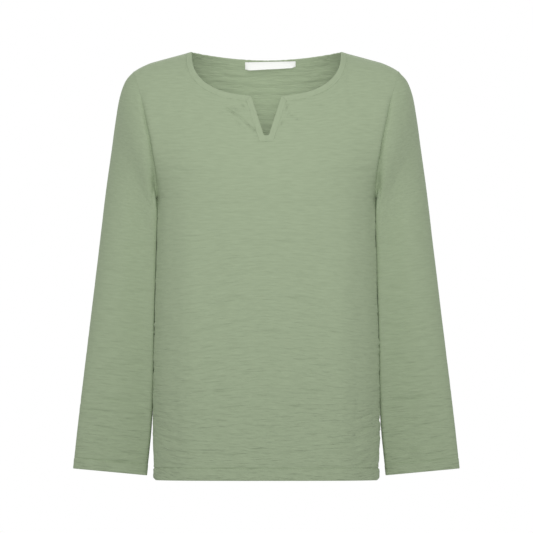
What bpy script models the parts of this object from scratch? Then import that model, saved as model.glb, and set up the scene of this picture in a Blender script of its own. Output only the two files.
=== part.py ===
"""Long-sleeve top with a round neck and a V slit, filled out as on a wearer, in metres.

+Z is up, -Y is the front and X runs across the shoulders. The origin is midway between the two
shoulder-neck points, where a wearer's shoulders hold the garment up.
"""

import bmesh
import bpy
import numpy as np

# Cloth. A hem or binding is doubled, and stands out by its raise on both sides of the wall
WALL = 0.0012
HEM_RAISE = 0.0003
SEAM_GAP = 0.0003
HEM_DEPTH = 0.018
CUFF_HEM_DEPTH = 0.015

# Body, as heights below the shoulder-neck points
LENGTH = 0.670
UNDERARM = -0.229
HEM_LINE = -LENGTH
FRONT_ROUNDNESS = 2.3
BACK_ROUNDNESS = 2.0

# The shoulder line, seen from the front
NECK_HALF_WIDTH = 0.1168
SHOULDER_TIP = 0.2075
SHOULDER_SLOPE = 0.285
SHOULDER_CROWN = 0.050
TIP_DROP_START = 0.178
TIP_DROP = 0.0052

# How the cloth falls from the shoulder line: how far down it has turned upright, and how full it is on the way
FRONT_FALL = (0.24, 1.6)
BACK_FALL = (0.18, 1.8)

# Neckline, slit and their bindings
NECK_DROP_FRONT = 0.0697
NECK_DROP_BACK = 0.0133
NECK_ROUNDNESS = 2.5
BINDING = 0.0075
SLIT_BINDING = 0.0085
SLIT_TOP_HALF = 0.0237
SLIT_TOP = -0.0705
SLIT_FOOT_HALF = 0.0042
SLIT_FOOT = -0.1312
SLIT_LEAN = (SLIT_TOP_HALF - SLIT_FOOT_HALF) / (SLIT_TOP - SLIT_FOOT)

# Label inside the back neck
LABEL_WIDTH = 0.080
LABEL_DEPTHS = (0.0112, 0.0085)
LABEL_TOP = -0.0145
LABEL_OFF_CENTRE = 0.0064
LABEL_TILT = 0.018
LABEL_WALL = 0.0010
LABEL_GAP = 0.0005

# Half width at the side, front depth and back depth of the body, up to the underarm
BODY = {
    "height": (-0.670, -0.640, -0.600, -0.560, -0.480, -0.400, -0.330, -0.270, -0.229),
    "side": (0.1752, 0.1758, 0.1774, 0.1773, 0.1761, 0.1739, 0.1718, 0.1707, 0.1706),
}
# The same above the underarm: the width at which the front and the back would close round the side
YOKE = {
    "height": (-0.229, -0.210, -0.190, -0.170, -0.150, -0.130, -0.105, -0.080, -0.050, -0.029, 0.030),
    "front": (0.1706, 0.1748, 0.1822, 0.1918, 0.2022, 0.2122, 0.2240, 0.2345, 0.2465, 0.2552, 0.2650),
    "back": (0.1706, 0.1790, 0.1912, 0.2055, 0.2200, 0.2330, 0.2480, 0.2610, 0.2750, 0.2837, 0.2950),
}
DEPTH = {
    "height": (-0.670, -0.500, -0.360, -0.270, -0.200, -0.120, 0.030),
    "front": (0.110, 0.111, 0.115, 0.121, 0.125, 0.125, 0.124),
    "back": (0.104, 0.100, 0.098, 0.101, 0.106, 0.109, 0.109),
}
# Angle round the body of the armhole seam, 0 at centre front and 180 at centre back, from the
# underarm (rise 0) to the shoulder tip (rise 1)
ARMHOLE = {
    "rise": (0.00, 0.07, 0.20, 0.35, 0.50, 0.70, 1.00),
    "front": (100.4, 90.0, 78.0, 66.0, 57.5, 53.0, 52.0),
    "back": (100.4, 107.0, 117.5, 126.5, 131.5, 133.0, 133.0),
}
# Soft vertical folds: where the crest lies, how wide it is, how far it stands out, and where it fades in
FOLDS = {
    "side": ("front", "front", "back", "back"),
    "across": (0.118, 0.000, 0.085, 0.000),
    "width": (0.030, 0.018, 0.030, 0.024),
    "stands_out": (0.0055, -0.0035, 0.0070, -0.0050),
    "fades_in": ((-0.20, -0.42), (-0.28, -0.48), (-0.18, -0.45), (-0.22, -0.50)),
}
# Sleeve stations from armhole to cuff, seen from the front, with the depth of the oval
SLEEVE = {
    "along": (0.00, 0.02, 0.05, 0.10, 0.15, 0.22, 0.30, 0.40, 0.55, 0.70, 0.85, 1.00),
    "outer_x": (0.2075, 0.2140, 0.2220, 0.2302, 0.2350, 0.2412, 0.2500, 0.2600, 0.2730, 0.2833, 0.2926, 0.3009),
    "outer_z": (-0.029, -0.0365, -0.0500, -0.0760, -0.1040, -0.1480, -0.2120, -0.2960, -0.4050, -0.4900, -0.5700, -0.6504),
    "inner_x": (0.1678, 0.1700, 0.1704, 0.1703, 0.1699, 0.1692, 0.1690, 0.1699, 0.1728, 0.1756, 0.1797, 0.1876),
    "inner_z": (-0.229, -0.2305, -0.2350, -0.2440, -0.2560, -0.2720, -0.2950, -0.3420, -0.4280, -0.5060, -0.5830, -0.6610),
    "front": (0.0620, 0.0640, 0.0650, 0.0640, 0.0620, 0.0585, 0.0550, 0.0500, 0.0400, 0.0310, 0.0240, 0.0200),
    "back": (0.0620, 0.0640, 0.0650, 0.0640, 0.0620, 0.0585, 0.0550, 0.0500, 0.0400, 0.0310, 0.0240, 0.0200),
    "middle_y": (0.0100, 0.0140, 0.0170, 0.0210, 0.0250, 0.0290, 0.0310, 0.0310, 0.0290, 0.0260, 0.0230, 0.0210),
}
ARMHOLE_SHAPE_FADES = 0.20
SLEEVE_RUN = 0.53

# Mesh density; the neckline's points crowd towards its end at the shoulder. Edges that turn more than
# SHARP_EDGE are shaded as edges
BACK_NECK_CROWDING = 1.5
FRONT_NECK_CROWDING = 1.4
NECK_STEPS = 11
SHOULDER_STEPS = 7
ARMHOLE_STEPS = 13
SLIT_STEPS = 7
BODY_ROWS = 14
SLEEVE_ROWS = 23
BINDING_ROWS = 2
LABEL_STEPS = 16
SLEEVE_CROWDING = 1.4
HEM_STEP = 0.0005
NORMAL_PASSES = 5
SHARP_EDGE = np.radians(50)

GREEN = (0.352, 0.424, 0.285, 1.0)
WHITE = (0.80, 0.80, 0.80, 1.0)


def smooth(table, column, at, key="height"):
    """A table's column as a smooth curve through its rows that never overshoots them."""
    knots = np.array(table[key], float)
    values = np.array(table[column], float)
    at = np.clip(np.asarray(at, float), knots[0], knots[-1])
    step = np.diff(knots)
    rise = np.diff(values) / step
    slope = np.concatenate([rise[:1], np.zeros(len(rise) - 1), rise[-1:]])
    same_way = rise[:-1] * rise[1:] > 0
    both = np.where(same_way, rise[:-1] + rise[1:], 1.0)
    slope[1:-1] = np.where(same_way, 2 * rise[:-1] * rise[1:] / both, 0.0)
    i = np.clip(np.searchsorted(knots, at) - 1, 0, len(step) - 1)
    t = (at - knots[i]) / step[i]
    return (
        values[i] * (1 + 2 * t) * (1 - t) ** 2
        + slope[i] * step[i] * t * (1 - t) ** 2
        + values[i + 1] * t**2 * (3 - 2 * t)
        - slope[i + 1] * step[i] * t**2 * (1 - t)
    )


def ease(t):
    """0 to 1 with level ends."""
    t = np.clip(t, 0.0, 1.0)
    return t * t * (3 - 2 * t)


def unit(vectors):
    return vectors / np.maximum(np.linalg.norm(vectors, axis=-1, keepdims=True), 1e-12)


def shoulder_height(x):
    """Height of the shoulder line at a distance x from the centre; between the neck points it is only a guide."""
    crown = np.hypot(NECK_HALF_WIDTH, SHOULDER_CROWN) - np.hypot(x, SHOULDER_CROWN)
    tip = ease((x - TIP_DROP_START) / (SHOULDER_TIP - TIP_DROP_START))
    return SHOULDER_SLOPE * crown - TIP_DROP * tip


def closing_width(part, z):
    """Half width at which the front or the back closes round the side."""
    return np.where(z < UNDERARM, smooth(BODY, "side", z), smooth(YOKE, part, z))


def fold(part, x, z):
    """How far the soft vertical folds stand out of the front or back."""
    out = np.zeros(np.broadcast(x, z).shape)
    rows = zip(*(FOLDS[k] for k in ("side", "across", "width", "stands_out", "fades_in")))
    for side, across, width, stands_out, (top, bottom) in rows:
        if side == part:
            crest = np.exp(-(((np.abs(x) - across) / width) ** 2))
            out = out + stands_out * crest * ease((z - top) / (bottom - top))
    return out


def body_point(part, angle, z):
    """A point of the body's surface: angle runs from 0 at centre front to pi at centre back."""
    angle, z = np.broadcast_arrays(np.asarray(angle, float), np.asarray(z, float))
    ahead = np.cos(angle) >= 0
    power = 2 / np.where(ahead, FRONT_ROUNDNESS, BACK_ROUNDNESS)
    x = closing_width(part, z) * np.sin(angle) ** power
    y = np.zeros_like(x)
    for name, here, way, (reach, fullness) in (
        ("front", ahead, -1, FRONT_FALL),
        ("back", ~ahead, 1, BACK_FALL),
    ):
        fall = np.clip((shoulder_height(x) - z) / reach, 0, 1)
        turned = np.sqrt(1 - (1 - fall) ** fullness)
        out = smooth(DEPTH, name, z) * np.abs(np.cos(angle)) ** power * turned + fold(name, x, z)
        y = np.where(here, way * out, y)
    return np.stack([x, y, z], axis=-1)


def angle_at(part, x, z):
    """The angle round the body of the point seen at x and z from the front, or from behind."""
    roundness = FRONT_ROUNDNESS if part == "front" else BACK_ROUNDNESS
    ahead = np.arcsin(np.clip((x / closing_width(part, z)) ** (roundness / 2), 0, 1))
    return ahead if part == "front" else np.pi - ahead


def neck_edge(part, offset, steps):
    """x and z of the neckline from the slit or centre back out to the shoulder, offset outwards."""
    t = np.linspace(0, 1, steps + 1)
    half = NECK_HALF_WIDTH + offset
    shoulder = shoulder_height(half)
    if part == "back":
        x = half * (1 - (1 - t) ** BACK_NECK_CROWDING)
        return x, shoulder - (NECK_DROP_BACK + offset + shoulder) * (1 - (x / half) ** 2)
    drop = NECK_DROP_FRONT + offset + shoulder
    start = SLIT_TOP_HALF + offset * (SLIT_BINDING / BINDING * np.hypot(1, SLIT_LEAN) - SLIT_LEAN)
    turn = np.arccos((start / half) ** (NECK_ROUNDNESS / 2)) * (1 - t) ** FRONT_NECK_CROWDING
    x = half * np.cos(turn) ** (2 / NECK_ROUNDNESS)
    return x, shoulder - drop * np.sin(turn) ** (2 / NECK_ROUNDNESS)


def slit_edge(offset, steps):
    """x and z of the slit's edge from its foot at the centre up to its top corner, offset outwards."""
    corner_x, corner_z = (float(v[0]) for v in neck_edge("front", offset * BINDING / SLIT_BINDING, 1))
    foot_z = SLIT_FOOT - offset
    foot_x = corner_x - SLIT_LEAN * (corner_z - foot_z)
    t = np.linspace(0, 1, steps + 1)
    x = np.concatenate([[0.0], foot_x + (corner_x - foot_x) * t])
    return x, np.concatenate([[foot_z], foot_z + (corner_z - foot_z) * t])


def armhole_edge(part):
    """Angle and height of the armhole seam, from the underarm up to the shoulder tip."""
    rise = np.linspace(0, 1, ARMHOLE_STEPS + 1)
    tip = float(shoulder_height(SHOULDER_TIP))
    z = UNDERARM + (tip - UNDERARM) * (1 - np.cos(np.pi * rise)) / 2
    angle = np.radians(smooth(ARMHOLE, part, rise, key="rise"))
    angle[-1] = angle_at(part, SHOULDER_TIP, tip)
    return angle, z


def coons(bottom, top, left, right):
    """A grid that fills the space between four edges, each an array of (angle, height) rows."""
    u = np.linspace(0, 1, len(bottom))[None, :, None]
    v = np.linspace(0, 1, len(left))[:, None, None]
    edges = (1 - v) * bottom[None] + v * top[None] + (1 - u) * left[:, None] + u * right[:, None]
    corners = (
        (1 - u) * (1 - v) * bottom[0] + u * (1 - v) * bottom[-1] + (1 - u) * v * top[0] + u * v * top[-1]
    )
    return edges - corners


def panel_grid(part):
    """The right half of the front or back as a grid of points: rows from the hem up, columns from the centre out."""
    columns = NECK_STEPS + SHOULDER_STEPS
    centre = 0.0 if part == "front" else np.pi
    side_angle, side_z = armhole_edge(part)
    across = np.linspace(centre, side_angle[0], columns + 1)
    neck_x, neck_z = neck_edge(part, BINDING, NECK_STEPS)
    shoulder_x = np.linspace(neck_x[-1], SHOULDER_TIP, SHOULDER_STEPS + 1)[1:]
    top_x = np.concatenate([neck_x, shoulder_x])
    top_z = np.concatenate([neck_z, shoulder_height(shoulder_x)])
    if part == "front":
        slit_x, slit_z = slit_edge(SLIT_BINDING, SLIT_STEPS)
        below = np.linspace(UNDERARM, slit_z[0], ARMHOLE_STEPS - SLIT_STEPS)[:-1]
        inner_x = np.concatenate([np.zeros(len(below)), slit_x])
        inner_z = np.concatenate([below, slit_z])
    else:
        inner_z = np.linspace(UNDERARM, top_z[0], ARMHOLE_STEPS + 1)
        inner_x = np.zeros(ARMHOLE_STEPS + 1)
    yoke = coons(
        np.stack([across, np.full(columns + 1, UNDERARM)], axis=1),
        np.stack([angle_at(part, top_x, top_z), top_z], axis=1),
        np.stack([angle_at(part, inner_x, inner_z), inner_z], axis=1),
        np.stack([side_angle, side_z], axis=1),
    )
    above_hem = np.linspace(HEM_LINE + HEM_DEPTH, UNDERARM, BODY_ROWS)[:-1]
    rows = np.concatenate([[HEM_LINE, above_hem[0] - HEM_STEP], above_hem])
    lower = np.stack(np.broadcast_arrays(across[None, :], rows[:, None]), axis=-1)
    grid = np.concatenate([lower, yoke])
    return body_point(part, grid[..., 0], grid[..., 1])


def grid_normals(points, outward):
    """Unit normals of a grid, turned the way that outward says at its middle."""
    along = np.gradient(points, axis=0)
    across = np.gradient(points, axis=1)
    normals = unit(np.cross(along, across))
    middle = normals[len(normals) // 2, normals.shape[1] // 2]
    return normals * (1 if middle @ np.array(outward, float) > 0 else -1)


class Piece:
    """Half of a piece of cloth as a grid of points on its outside, with its normals and the parting at its seams."""

    def __init__(self, points, normals):
        self.points = points
        self.normals = normals
        self.parting = np.zeros_like(points)

    def wall_points(self, thickness=WALL, raise_out=0.0):
        """The outer and the inner grid of the wall."""
        outer = self.points + self.parting + self.normals * raise_out
        return outer, outer - self.normals * thickness


def square_to(tangent, way):
    return unit(way - (way * tangent).sum(axis=-1, keepdims=True) * tangent)


def sew(seams):
    """Give the pieces at each seam the same normals, unless they meet in a sharp valley, and part them by its gap.

    Each side of a seam is a piece, the index of its points on the seam and that of the points beside them.
    """
    alike = []
    for (one, at, beside), (other, other_at, other_beside), gap in seams:
        edge = one.points[at]
        tangent = unit(np.gradient(edge, axis=0))
        into_one = square_to(tangent, one.points[beside] - edge)
        into_other = square_to(tangent, other.points[other_beside] - edge)
        apart = unit(into_one - into_other) * gap / 2
        one.parting[at] += apart
        other.parting[other_at] -= apart
        alike.append((one.normals[at] * other.normals[other_at]).sum(axis=-1, keepdims=True) > 0)
    pieces = {id(side[0]): side[0] for seam in seams for side in seam[:2]}.values()
    for _ in range(NORMAL_PASSES):
        totals = {id(piece): piece.normals.copy() for piece in pieces}
        for ((one, at, _), (other, other_at, _), _), share in zip(seams, alike):
            totals[id(one)][at] += share * other.normals[other_at]
            totals[id(other)][other_at] += share * one.normals[at]
        for piece in pieces:
            piece.normals = unit(totals[id(piece)])


def mirrored(points):
    return points * np.array([-1.0, 1.0, 1.0])


def grid_faces(index, closed=False):
    """Quads of a grid of point numbers; closed joins the last column to the first."""
    if closed:
        index = np.concatenate([index, index[:, :1]], axis=1)
    corners = (index[:-1, :-1], index[:-1, 1:], index[1:, 1:], index[1:, :-1])
    return np.stack([c.ravel() for c in corners], axis=1)


def make_wall(name, outer, inner, faces, material):
    """One closed wall of cloth: the outer faces extruded inwards onto the inner points."""
    bm = bmesh.new()
    number = bm.verts.layers.int.new("number")
    verts = [bm.verts.new(p) for p in outer]
    for i, v in enumerate(verts):
        v[number] = i
    for quad in faces:
        bm.faces.new([verts[i] for i in quad])
    made = bmesh.ops.extrude_face_region(bm, geom=bm.faces[:], use_keep_orig=True)
    for v in made["geom"]:
        if isinstance(v, bmesh.types.BMVert):
            v.co = inner[v[number]]
    bmesh.ops.recalc_face_normals(bm, faces=bm.faces[:])
    mesh = bpy.data.meshes.new(name)
    bm.to_mesh(mesh)
    bm.free()
    if signed_volume(mesh) < 0:
        mesh.flip_normals()
    mesh.shade_smooth()
    mesh.set_sharp_from_angle(angle=SHARP_EDGE)
    mesh.materials.append(material)
    piece = bpy.data.objects.new(name, mesh)
    bpy.context.scene.collection.objects.link(piece)
    piece.parent = garment
    return piece


def signed_volume(mesh):
    mesh.calc_loop_triangles()
    points = np.array([v.co for v in mesh.vertices])
    a, b, c = (points[[t.vertices[k] for t in mesh.loop_triangles]] for k in range(3))
    return (a * np.cross(b, c)).sum() / 6


def make_material(name, colour, roughness):
    material = bpy.data.materials.new(name)
    material.use_nodes = True
    shader = material.node_tree.nodes["Principled BSDF"]
    shader.inputs["Base Color"].default_value = colour
    shader.inputs["Roughness"].default_value = roughness
    shader.inputs["Metallic"].default_value = 0.0
    return material


def halves_joined(outer, inner, joined_rows):
    """A half wall and its mirror image as one set of points, sharing the centre column over joined_rows rows."""
    rows, columns = outer.shape[:2]
    right = np.arange(rows * columns).reshape(rows, columns)
    left = right + rows * columns
    left[:joined_rows, 0] = right[:joined_rows, 0]
    faces = np.concatenate([grid_faces(right), grid_faces(left)[:, ::-1]])
    used, faces = np.unique(faces, return_inverse=True)
    both = (np.concatenate([grid, mirrored(grid)]).reshape(-1, 3)[used] for grid in (outer, inner))
    return *both, faces.reshape(-1, 4)


def hem_wall(turned):
    """Wall thickness and outward raise, where turned says whether the cloth is doubled by a hem."""
    return np.where(turned, WALL + 2 * HEM_RAISE, WALL), np.where(turned, HEM_RAISE, 0.0)


def binding_grid(part, free, sewn):
    """A binding between its free edge and its sewn edge, each as x and z: rows across, columns along."""
    across = np.linspace(0, 1, BINDING_ROWS + 1)[:, None]
    x, z = (f * (1 - across) + s * across for f, s in zip(free, sewn))
    return body_point(part, angle_at(part, x, z), z)


def sleeve_grid(armhole):
    """Rings of the right sleeve. The first ring is the armhole seam, from the tip round the front and back."""
    turn = np.linspace(0, 2 * np.pi, len(armhole), endpoint=False)
    hem_at = 1 - CUFF_HEM_DEPTH / SLEEVE_RUN
    along = np.concatenate([hem_at * np.linspace(0, 1, SLEEVE_ROWS) ** SLEEVE_CROWDING, [hem_at + HEM_STEP / SLEEVE_RUN, 1.0]])
    column = {k: smooth(SLEEVE, k, along, key="along")[:, None] for k in SLEEVE if k != "along"}
    outer = np.stack([column["outer_x"], column["outer_z"]], axis=-1)
    inner = np.stack([column["inner_x"], column["inner_z"]], axis=-1)
    centre, reach = (outer + inner) / 2, (outer - inner) / 2
    square = np.stack([-reach[..., 1], reach[..., 0]], axis=-1)
    seam = armhole[:, [0, 2]] - centre[0]
    size = (reach[0] ** 2).sum()
    seam_along = (seam * reach[0]).sum(axis=-1) / size
    seam_aside = (seam * square[0]).sum(axis=-1) / size
    kept = 1 - ease(along / ARMHOLE_SHAPE_FADES)[:, None]
    oval = np.where(np.sin(turn) > 0, -column["front"], column["back"]) * np.abs(np.sin(turn))
    y = kept * armhole[:, 1] + (1 - kept) * (column["middle_y"] + oval)
    share_along = (kept * seam_along + (1 - kept) * np.cos(turn))[..., None]
    share_aside = (kept**2 * seam_aside)[..., None]
    flat = centre + share_along * reach + share_aside * square
    return np.stack([flat[..., 0], y, flat[..., 1]], axis=-1)


def closed_normals(rings):
    """Outward normals of a sleeve's rings."""
    along = np.gradient(rings, axis=0)
    around = (np.roll(rings, -1, axis=1) - np.roll(rings, 1, axis=1)) / 2
    normals = unit(np.cross(along, around))
    outward = rings[-1] - rings[-1].mean(axis=0)
    return normals * (1 if (normals[-1] * outward).sum() > 0 else -1)


for stale in list(bpy.data.objects):
    bpy.data.objects.remove(stale)
garment = bpy.data.objects.new("garment", None)
bpy.context.scene.collection.objects.link(garment)
cloth = make_material("green_cloth", GREEN, 0.9)
woven_label = make_material("white_label", WHITE, 0.8)

# Half of each piece: rows upwards from the hem or outwards from the neck, columns from the centre out
points = panel_grid("front")
front = Piece(points, grid_normals(points, (0, -1, 0)))
points = panel_grid("back")
back = Piece(points, grid_normals(points, (0, 1, 0)))
points = binding_grid("front", neck_edge("front", 0.0, NECK_STEPS), neck_edge("front", BINDING, NECK_STEPS))
front_neck = Piece(points, grid_normals(points, (0, -1, 1)))
points = binding_grid("back", neck_edge("back", 0.0, NECK_STEPS), neck_edge("back", BINDING, NECK_STEPS))
back_neck = Piece(points, grid_normals(points, (0, 1, 1)))
points = binding_grid("front", slit_edge(0.0, SLIT_STEPS), slit_edge(SLIT_BINDING, SLIT_STEPS))
slit = Piece(points, grid_normals(points, (0, -1, 0)))

# The rows where the armhole and the slit begin
rows = len(front.points)
underarm = rows - ARMHOLE_STEPS - 1
foot = rows - SLIT_STEPS - 2
armhole = np.concatenate([front.points[:underarm:-1, -1], back.points[underarm:-1, -1]])
rings = sleeve_grid(armhole)
sleeve = Piece(rings, closed_normals(rings))

# Seams
side = slice(0, underarm + 1)
neck = slice(0, NECK_STEPS + 1)
shoulder = slice(NECK_STEPS, None)
slit_rows = np.arange(foot, rows)
beside_slit_rows, beside_slit_columns = slit_rows.copy(), np.ones(len(slit_rows), int)
beside_slit_rows[0], beside_slit_columns[0] = foot - 1, 0
armhole_rows = np.arange(underarm, rows)
beside_rows, beside_columns = armhole_rows.copy(), np.full(len(armhole_rows), -2)
beside_rows[0], beside_columns[0] = underarm - 1, -1
front_ring = np.arange(ARMHOLE_STEPS, -1, -1)
back_ring = np.append(np.arange(ARMHOLE_STEPS, 2 * ARMHOLE_STEPS), 0)
whole = slice(None)
sew(
    (
        ((front, (side, -1), (side, -2)), (back, (side, -1), (side, -2)), SEAM_GAP),
        ((front, (-1, shoulder), (-2, shoulder)), (back, (-1, shoulder), (-2, shoulder)), SEAM_GAP),
        ((front_neck, (-1, whole), (-2, whole)), (front, (-1, neck), (-2, neck)), SEAM_GAP),
        ((back_neck, (-1, whole), (-2, whole)), (back, (-1, neck), (-2, neck)), SEAM_GAP),
        ((front_neck, (whole, -1), (whole, -2)), (back_neck, (whole, -1), (whole, -2)), 0.0),
        ((slit, (whole, -1), (whole, -2)), (front_neck, (whole, 0), (whole, 1)), SEAM_GAP),
        ((slit, (-1, whole), (-2, whole)), (front, (slit_rows, 0), (beside_slit_rows, beside_slit_columns)), SEAM_GAP),
        (
            (front, (armhole_rows, -1), (beside_rows, beside_columns)),
            (sleeve, (0, front_ring), (1, front_ring)),
            SEAM_GAP,
        ),
        (
            (back, (armhole_rows, -1), (beside_rows, beside_columns)),
            (sleeve, (0, back_ring), (1, back_ring)),
            SEAM_GAP,
        ),
    )
)
for piece, centre in ((front, side), (front, slice(underarm, foot + 1)), (back, whole)):
    piece.normals[centre, 0, 0] = 0.0
    piece.parting[centre, 0, 0] = 0.0
for piece in (back_neck, slit):
    piece.normals[:, 0, 0] = 0.0
    piece.parting[:, 0, 0] = 0.0

# Front and back panels, mirrored about the centre
for name, piece, joined_rows in (("front", front, foot + 1), ("back", back, rows)):
    turned = piece.points[..., 2:] < HEM_LINE + HEM_DEPTH - HEM_STEP / 2
    outer, inner, faces = halves_joined(*piece.wall_points(*hem_wall(turned)), joined_rows)
    make_wall(name, outer, inner, faces, cloth)

# Bindings: the neck's two halves end to end on both sides, and the V of the slit
halves = {
    "neck_binding": [
        np.concatenate([first, second[:, -2::-1]], axis=1)
        for first, second in zip(front_neck.wall_points(*hem_wall(True)), back_neck.wall_points(*hem_wall(True)))
    ],
    "slit_binding": [grid[:, ::-1] for grid in slit.wall_points(*hem_wall(True))],
}
for name, half in halves.items():
    outer, inner = (np.concatenate([grid, mirrored(grid[:, -2::-1])], axis=1) for grid in half)
    numbers = np.arange(outer[..., 0].size).reshape(outer.shape[:2])
    make_wall(name, outer.reshape(-1, 3), inner.reshape(-1, 3), grid_faces(numbers), cloth)

# Sleeves
turned = np.zeros((len(rings), 1, 1), bool)
turned[-2:] = True
outer, inner = sleeve.wall_points(*hem_wall(turned))
numbers = np.arange(outer[..., 0].size).reshape(outer.shape[:2])
make_wall("sleeve_left", outer.reshape(-1, 3), inner.reshape(-1, 3), grid_faces(numbers, closed=True), cloth)
outer, inner = mirrored(outer), mirrored(inner)
make_wall("sleeve_right", outer.reshape(-1, 3), inner.reshape(-1, 3), grid_faces(numbers, closed=True), cloth)

# Label, hung inside the back neck
u = np.linspace(0, 1, LABEL_STEPS + 1)[None, :]
v = np.array([0.0, 0.5, 1.0])[:, None]
label_x = LABEL_OFF_CENTRE + LABEL_WIDTH * (u - 0.5) + 0 * v
label_z = LABEL_TOP + LABEL_TILT * LABEL_WIDTH * (u - 0.5) - v * (LABEL_DEPTHS[0] * (1 - u) + LABEL_DEPTHS[1] * u)
points = body_point("back", angle_at("back", np.abs(label_x), label_z), label_z)
points[..., 0] = label_x
label = Piece(points, grid_normals(points, (0, 1, 0)))
inside = WALL + HEM_RAISE + LABEL_GAP
outer, inner = (grid.reshape(-1, 3) for grid in label.wall_points(LABEL_WALL, -inside))
numbers = np.arange(len(outer)).reshape(label_x.shape)
make_wall("neck_label", outer, inner, grid_faces(numbers), woven_label)
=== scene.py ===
# %% [markdown]
# # A long-sleeve top in crinkled cotton
#
# The garment is already there as plain closed solids: a front, a back, two sleeves, two bindings and a
# label, each of the right size and shape, but smooth as cut board. In this lesson every piece is made
# again as fine cloth, from the same surface formulas, and gets what real cloth has: crosswise crinkle,
# creases, turned hems, sewing thread and a woven finish. The solids stay in place as the frame.

import bpy
import numpy as np
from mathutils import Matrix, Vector


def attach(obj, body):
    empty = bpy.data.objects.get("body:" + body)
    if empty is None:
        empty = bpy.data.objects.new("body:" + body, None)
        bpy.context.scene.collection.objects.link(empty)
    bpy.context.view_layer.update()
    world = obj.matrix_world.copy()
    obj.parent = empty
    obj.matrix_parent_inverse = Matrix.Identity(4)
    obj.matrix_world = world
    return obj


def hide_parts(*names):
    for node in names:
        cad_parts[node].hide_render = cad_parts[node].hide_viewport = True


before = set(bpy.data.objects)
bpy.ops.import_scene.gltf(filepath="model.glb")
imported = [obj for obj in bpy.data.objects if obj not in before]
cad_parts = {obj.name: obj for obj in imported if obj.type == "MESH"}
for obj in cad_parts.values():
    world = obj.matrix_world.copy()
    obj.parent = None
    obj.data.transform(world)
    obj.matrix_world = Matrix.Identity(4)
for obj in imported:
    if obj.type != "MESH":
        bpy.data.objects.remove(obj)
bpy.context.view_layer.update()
print("solids:", ", ".join(sorted(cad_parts)))

# %% [markdown]
# ## Camera
#
# The product picture is taken square on, from the front, with next to no perspective. A long lens far
# away does that. One pixel of the picture covers METRES_PER_PIXEL at the garment's side seams,
# so the lens follows from the width of the picture.

# %% Camera
PICTURE_PIXELS = 533
METRES_PER_PIXEL = 0.0015654
PICTURE_WIDTH = PICTURE_PIXELS * METRES_PER_PIXEL
CAMERA_DISTANCE = 25.0
SENSOR_MM = 36.0
PICTURE_MIDDLE = (0.0003, -0.3358)

camera_data = bpy.data.cameras.new("camera")
camera_data.sensor_width = SENSOR_MM
camera_data.lens = SENSOR_MM * CAMERA_DISTANCE / PICTURE_WIDTH
camera_data.clip_end = 100.0
camera = bpy.data.objects.new("camera", camera_data)
camera.location = (PICTURE_MIDDLE[0], -CAMERA_DISTANCE, PICTURE_MIDDLE[1])
camera.rotation_euler = (np.pi / 2, 0.0, 0.0)
bpy.context.scene.collection.objects.link(camera)
bpy.context.scene.camera = camera
bpy.context.scene.view_settings.view_transform = "Standard"
print(f"lens {camera_data.lens:.0f} mm for a view {PICTURE_WIDTH:.3f} m wide")

# %% [markdown]
# ## Light
#
# The picture is lit almost flat. The chest is the brightest place, the cloth gets darker towards the
# hem and the cuffs, and the sides are about a third darker than the middle. A white room fills every
# shadow. A large soft lamp in front and above gives the creases their shade, and two soft spots on the
# chest make the light fall off downwards. In a studio a small white card inside the neck would light
# the inside of the back: two weak lamps below the neck stand in for it, one soft and one that shines
# upwards. A lamp behind keeps the back readable. The background is pure white, so the world shows white
# to the camera and lights the cloth with a dimmer white.

# %% Lamps and room
ROOM_LIGHT = 0.63
CHEST = (0.0, 0.0, -0.07)
GARMENT_MIDDLE = (0.0, 0.0, -0.33)
ABOVE_NECK = (0.0, 0.05, 0.06)
SOFT_LAMPS = (
    ("lamp_front", (0.0, -4.2, 2.2), GARMENT_MIDDLE, 3.0, 45.0),
    ("lamp_behind", (0.0, 4.2, 2.2), GARMENT_MIDDLE, 3.0, 70.0),
    ("card_in_neck", (0.0, -0.03, -0.17), ABOVE_NECK, 0.10, 0.036),
)
SPOTS = (
    ("spot_level", (0.0, -6.0, 0.0), CHEST, 15.5, 0.5, 290.0),
    ("spot_high", (0.0, -5.2, 3.0), CHEST, 15.0, 0.5, 75.0),
    ("spot_in_neck", (0.0, -0.07, -0.22), ABOVE_NECK, 89.0, 0.03, 0.85),
)
WHITE = (1.0, 1.0, 1.0, 1.0)


def add_lamp(name, data, location, target):
    """A lamp in the scene, turned so that its -Z axis points at the target, and unseen by the camera."""
    lamp = bpy.data.objects.new(name, data)
    lamp.location = location
    lamp.rotation_euler = (Vector(target) - lamp.location).to_track_quat("-Z", "Y").to_euler()
    lamp.visible_camera = False
    bpy.context.scene.collection.objects.link(lamp)


def add_node(tree, kind, inputs, **settings):
    """A node with its settings. An input is linked where its value is a socket, and set where it isn't."""
    node = tree.nodes.new(kind)
    for setting, value in settings.items():
        setattr(node, setting, value)
    for name, value in inputs.items():
        if isinstance(value, bpy.types.NodeSocket):
            tree.links.new(value, node.inputs[name])
        else:
            node.inputs[name].default_value = value
    return node


def white_room(strength):
    """A world that looks pure white to the camera and lights everything else with the given strength."""
    world = bpy.data.worlds.new("white_room")
    world.use_nodes = True
    tree = world.node_tree
    seen = tree.nodes["Background"]
    seen.inputs["Color"].default_value = WHITE
    lighting = add_node(tree, "ShaderNodeBackground", {"Color": WHITE, "Strength": strength})
    for_camera = add_node(tree, "ShaderNodeLightPath", {}).outputs["Is Camera Ray"]
    choices = {0: for_camera, 1: lighting.outputs[0], 2: seen.outputs[0]}
    either = add_node(tree, "ShaderNodeMixShader", choices)
    tree.links.new(either.outputs[0], tree.nodes["World Output"].inputs["Surface"])
    bpy.context.scene.world = world


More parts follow.
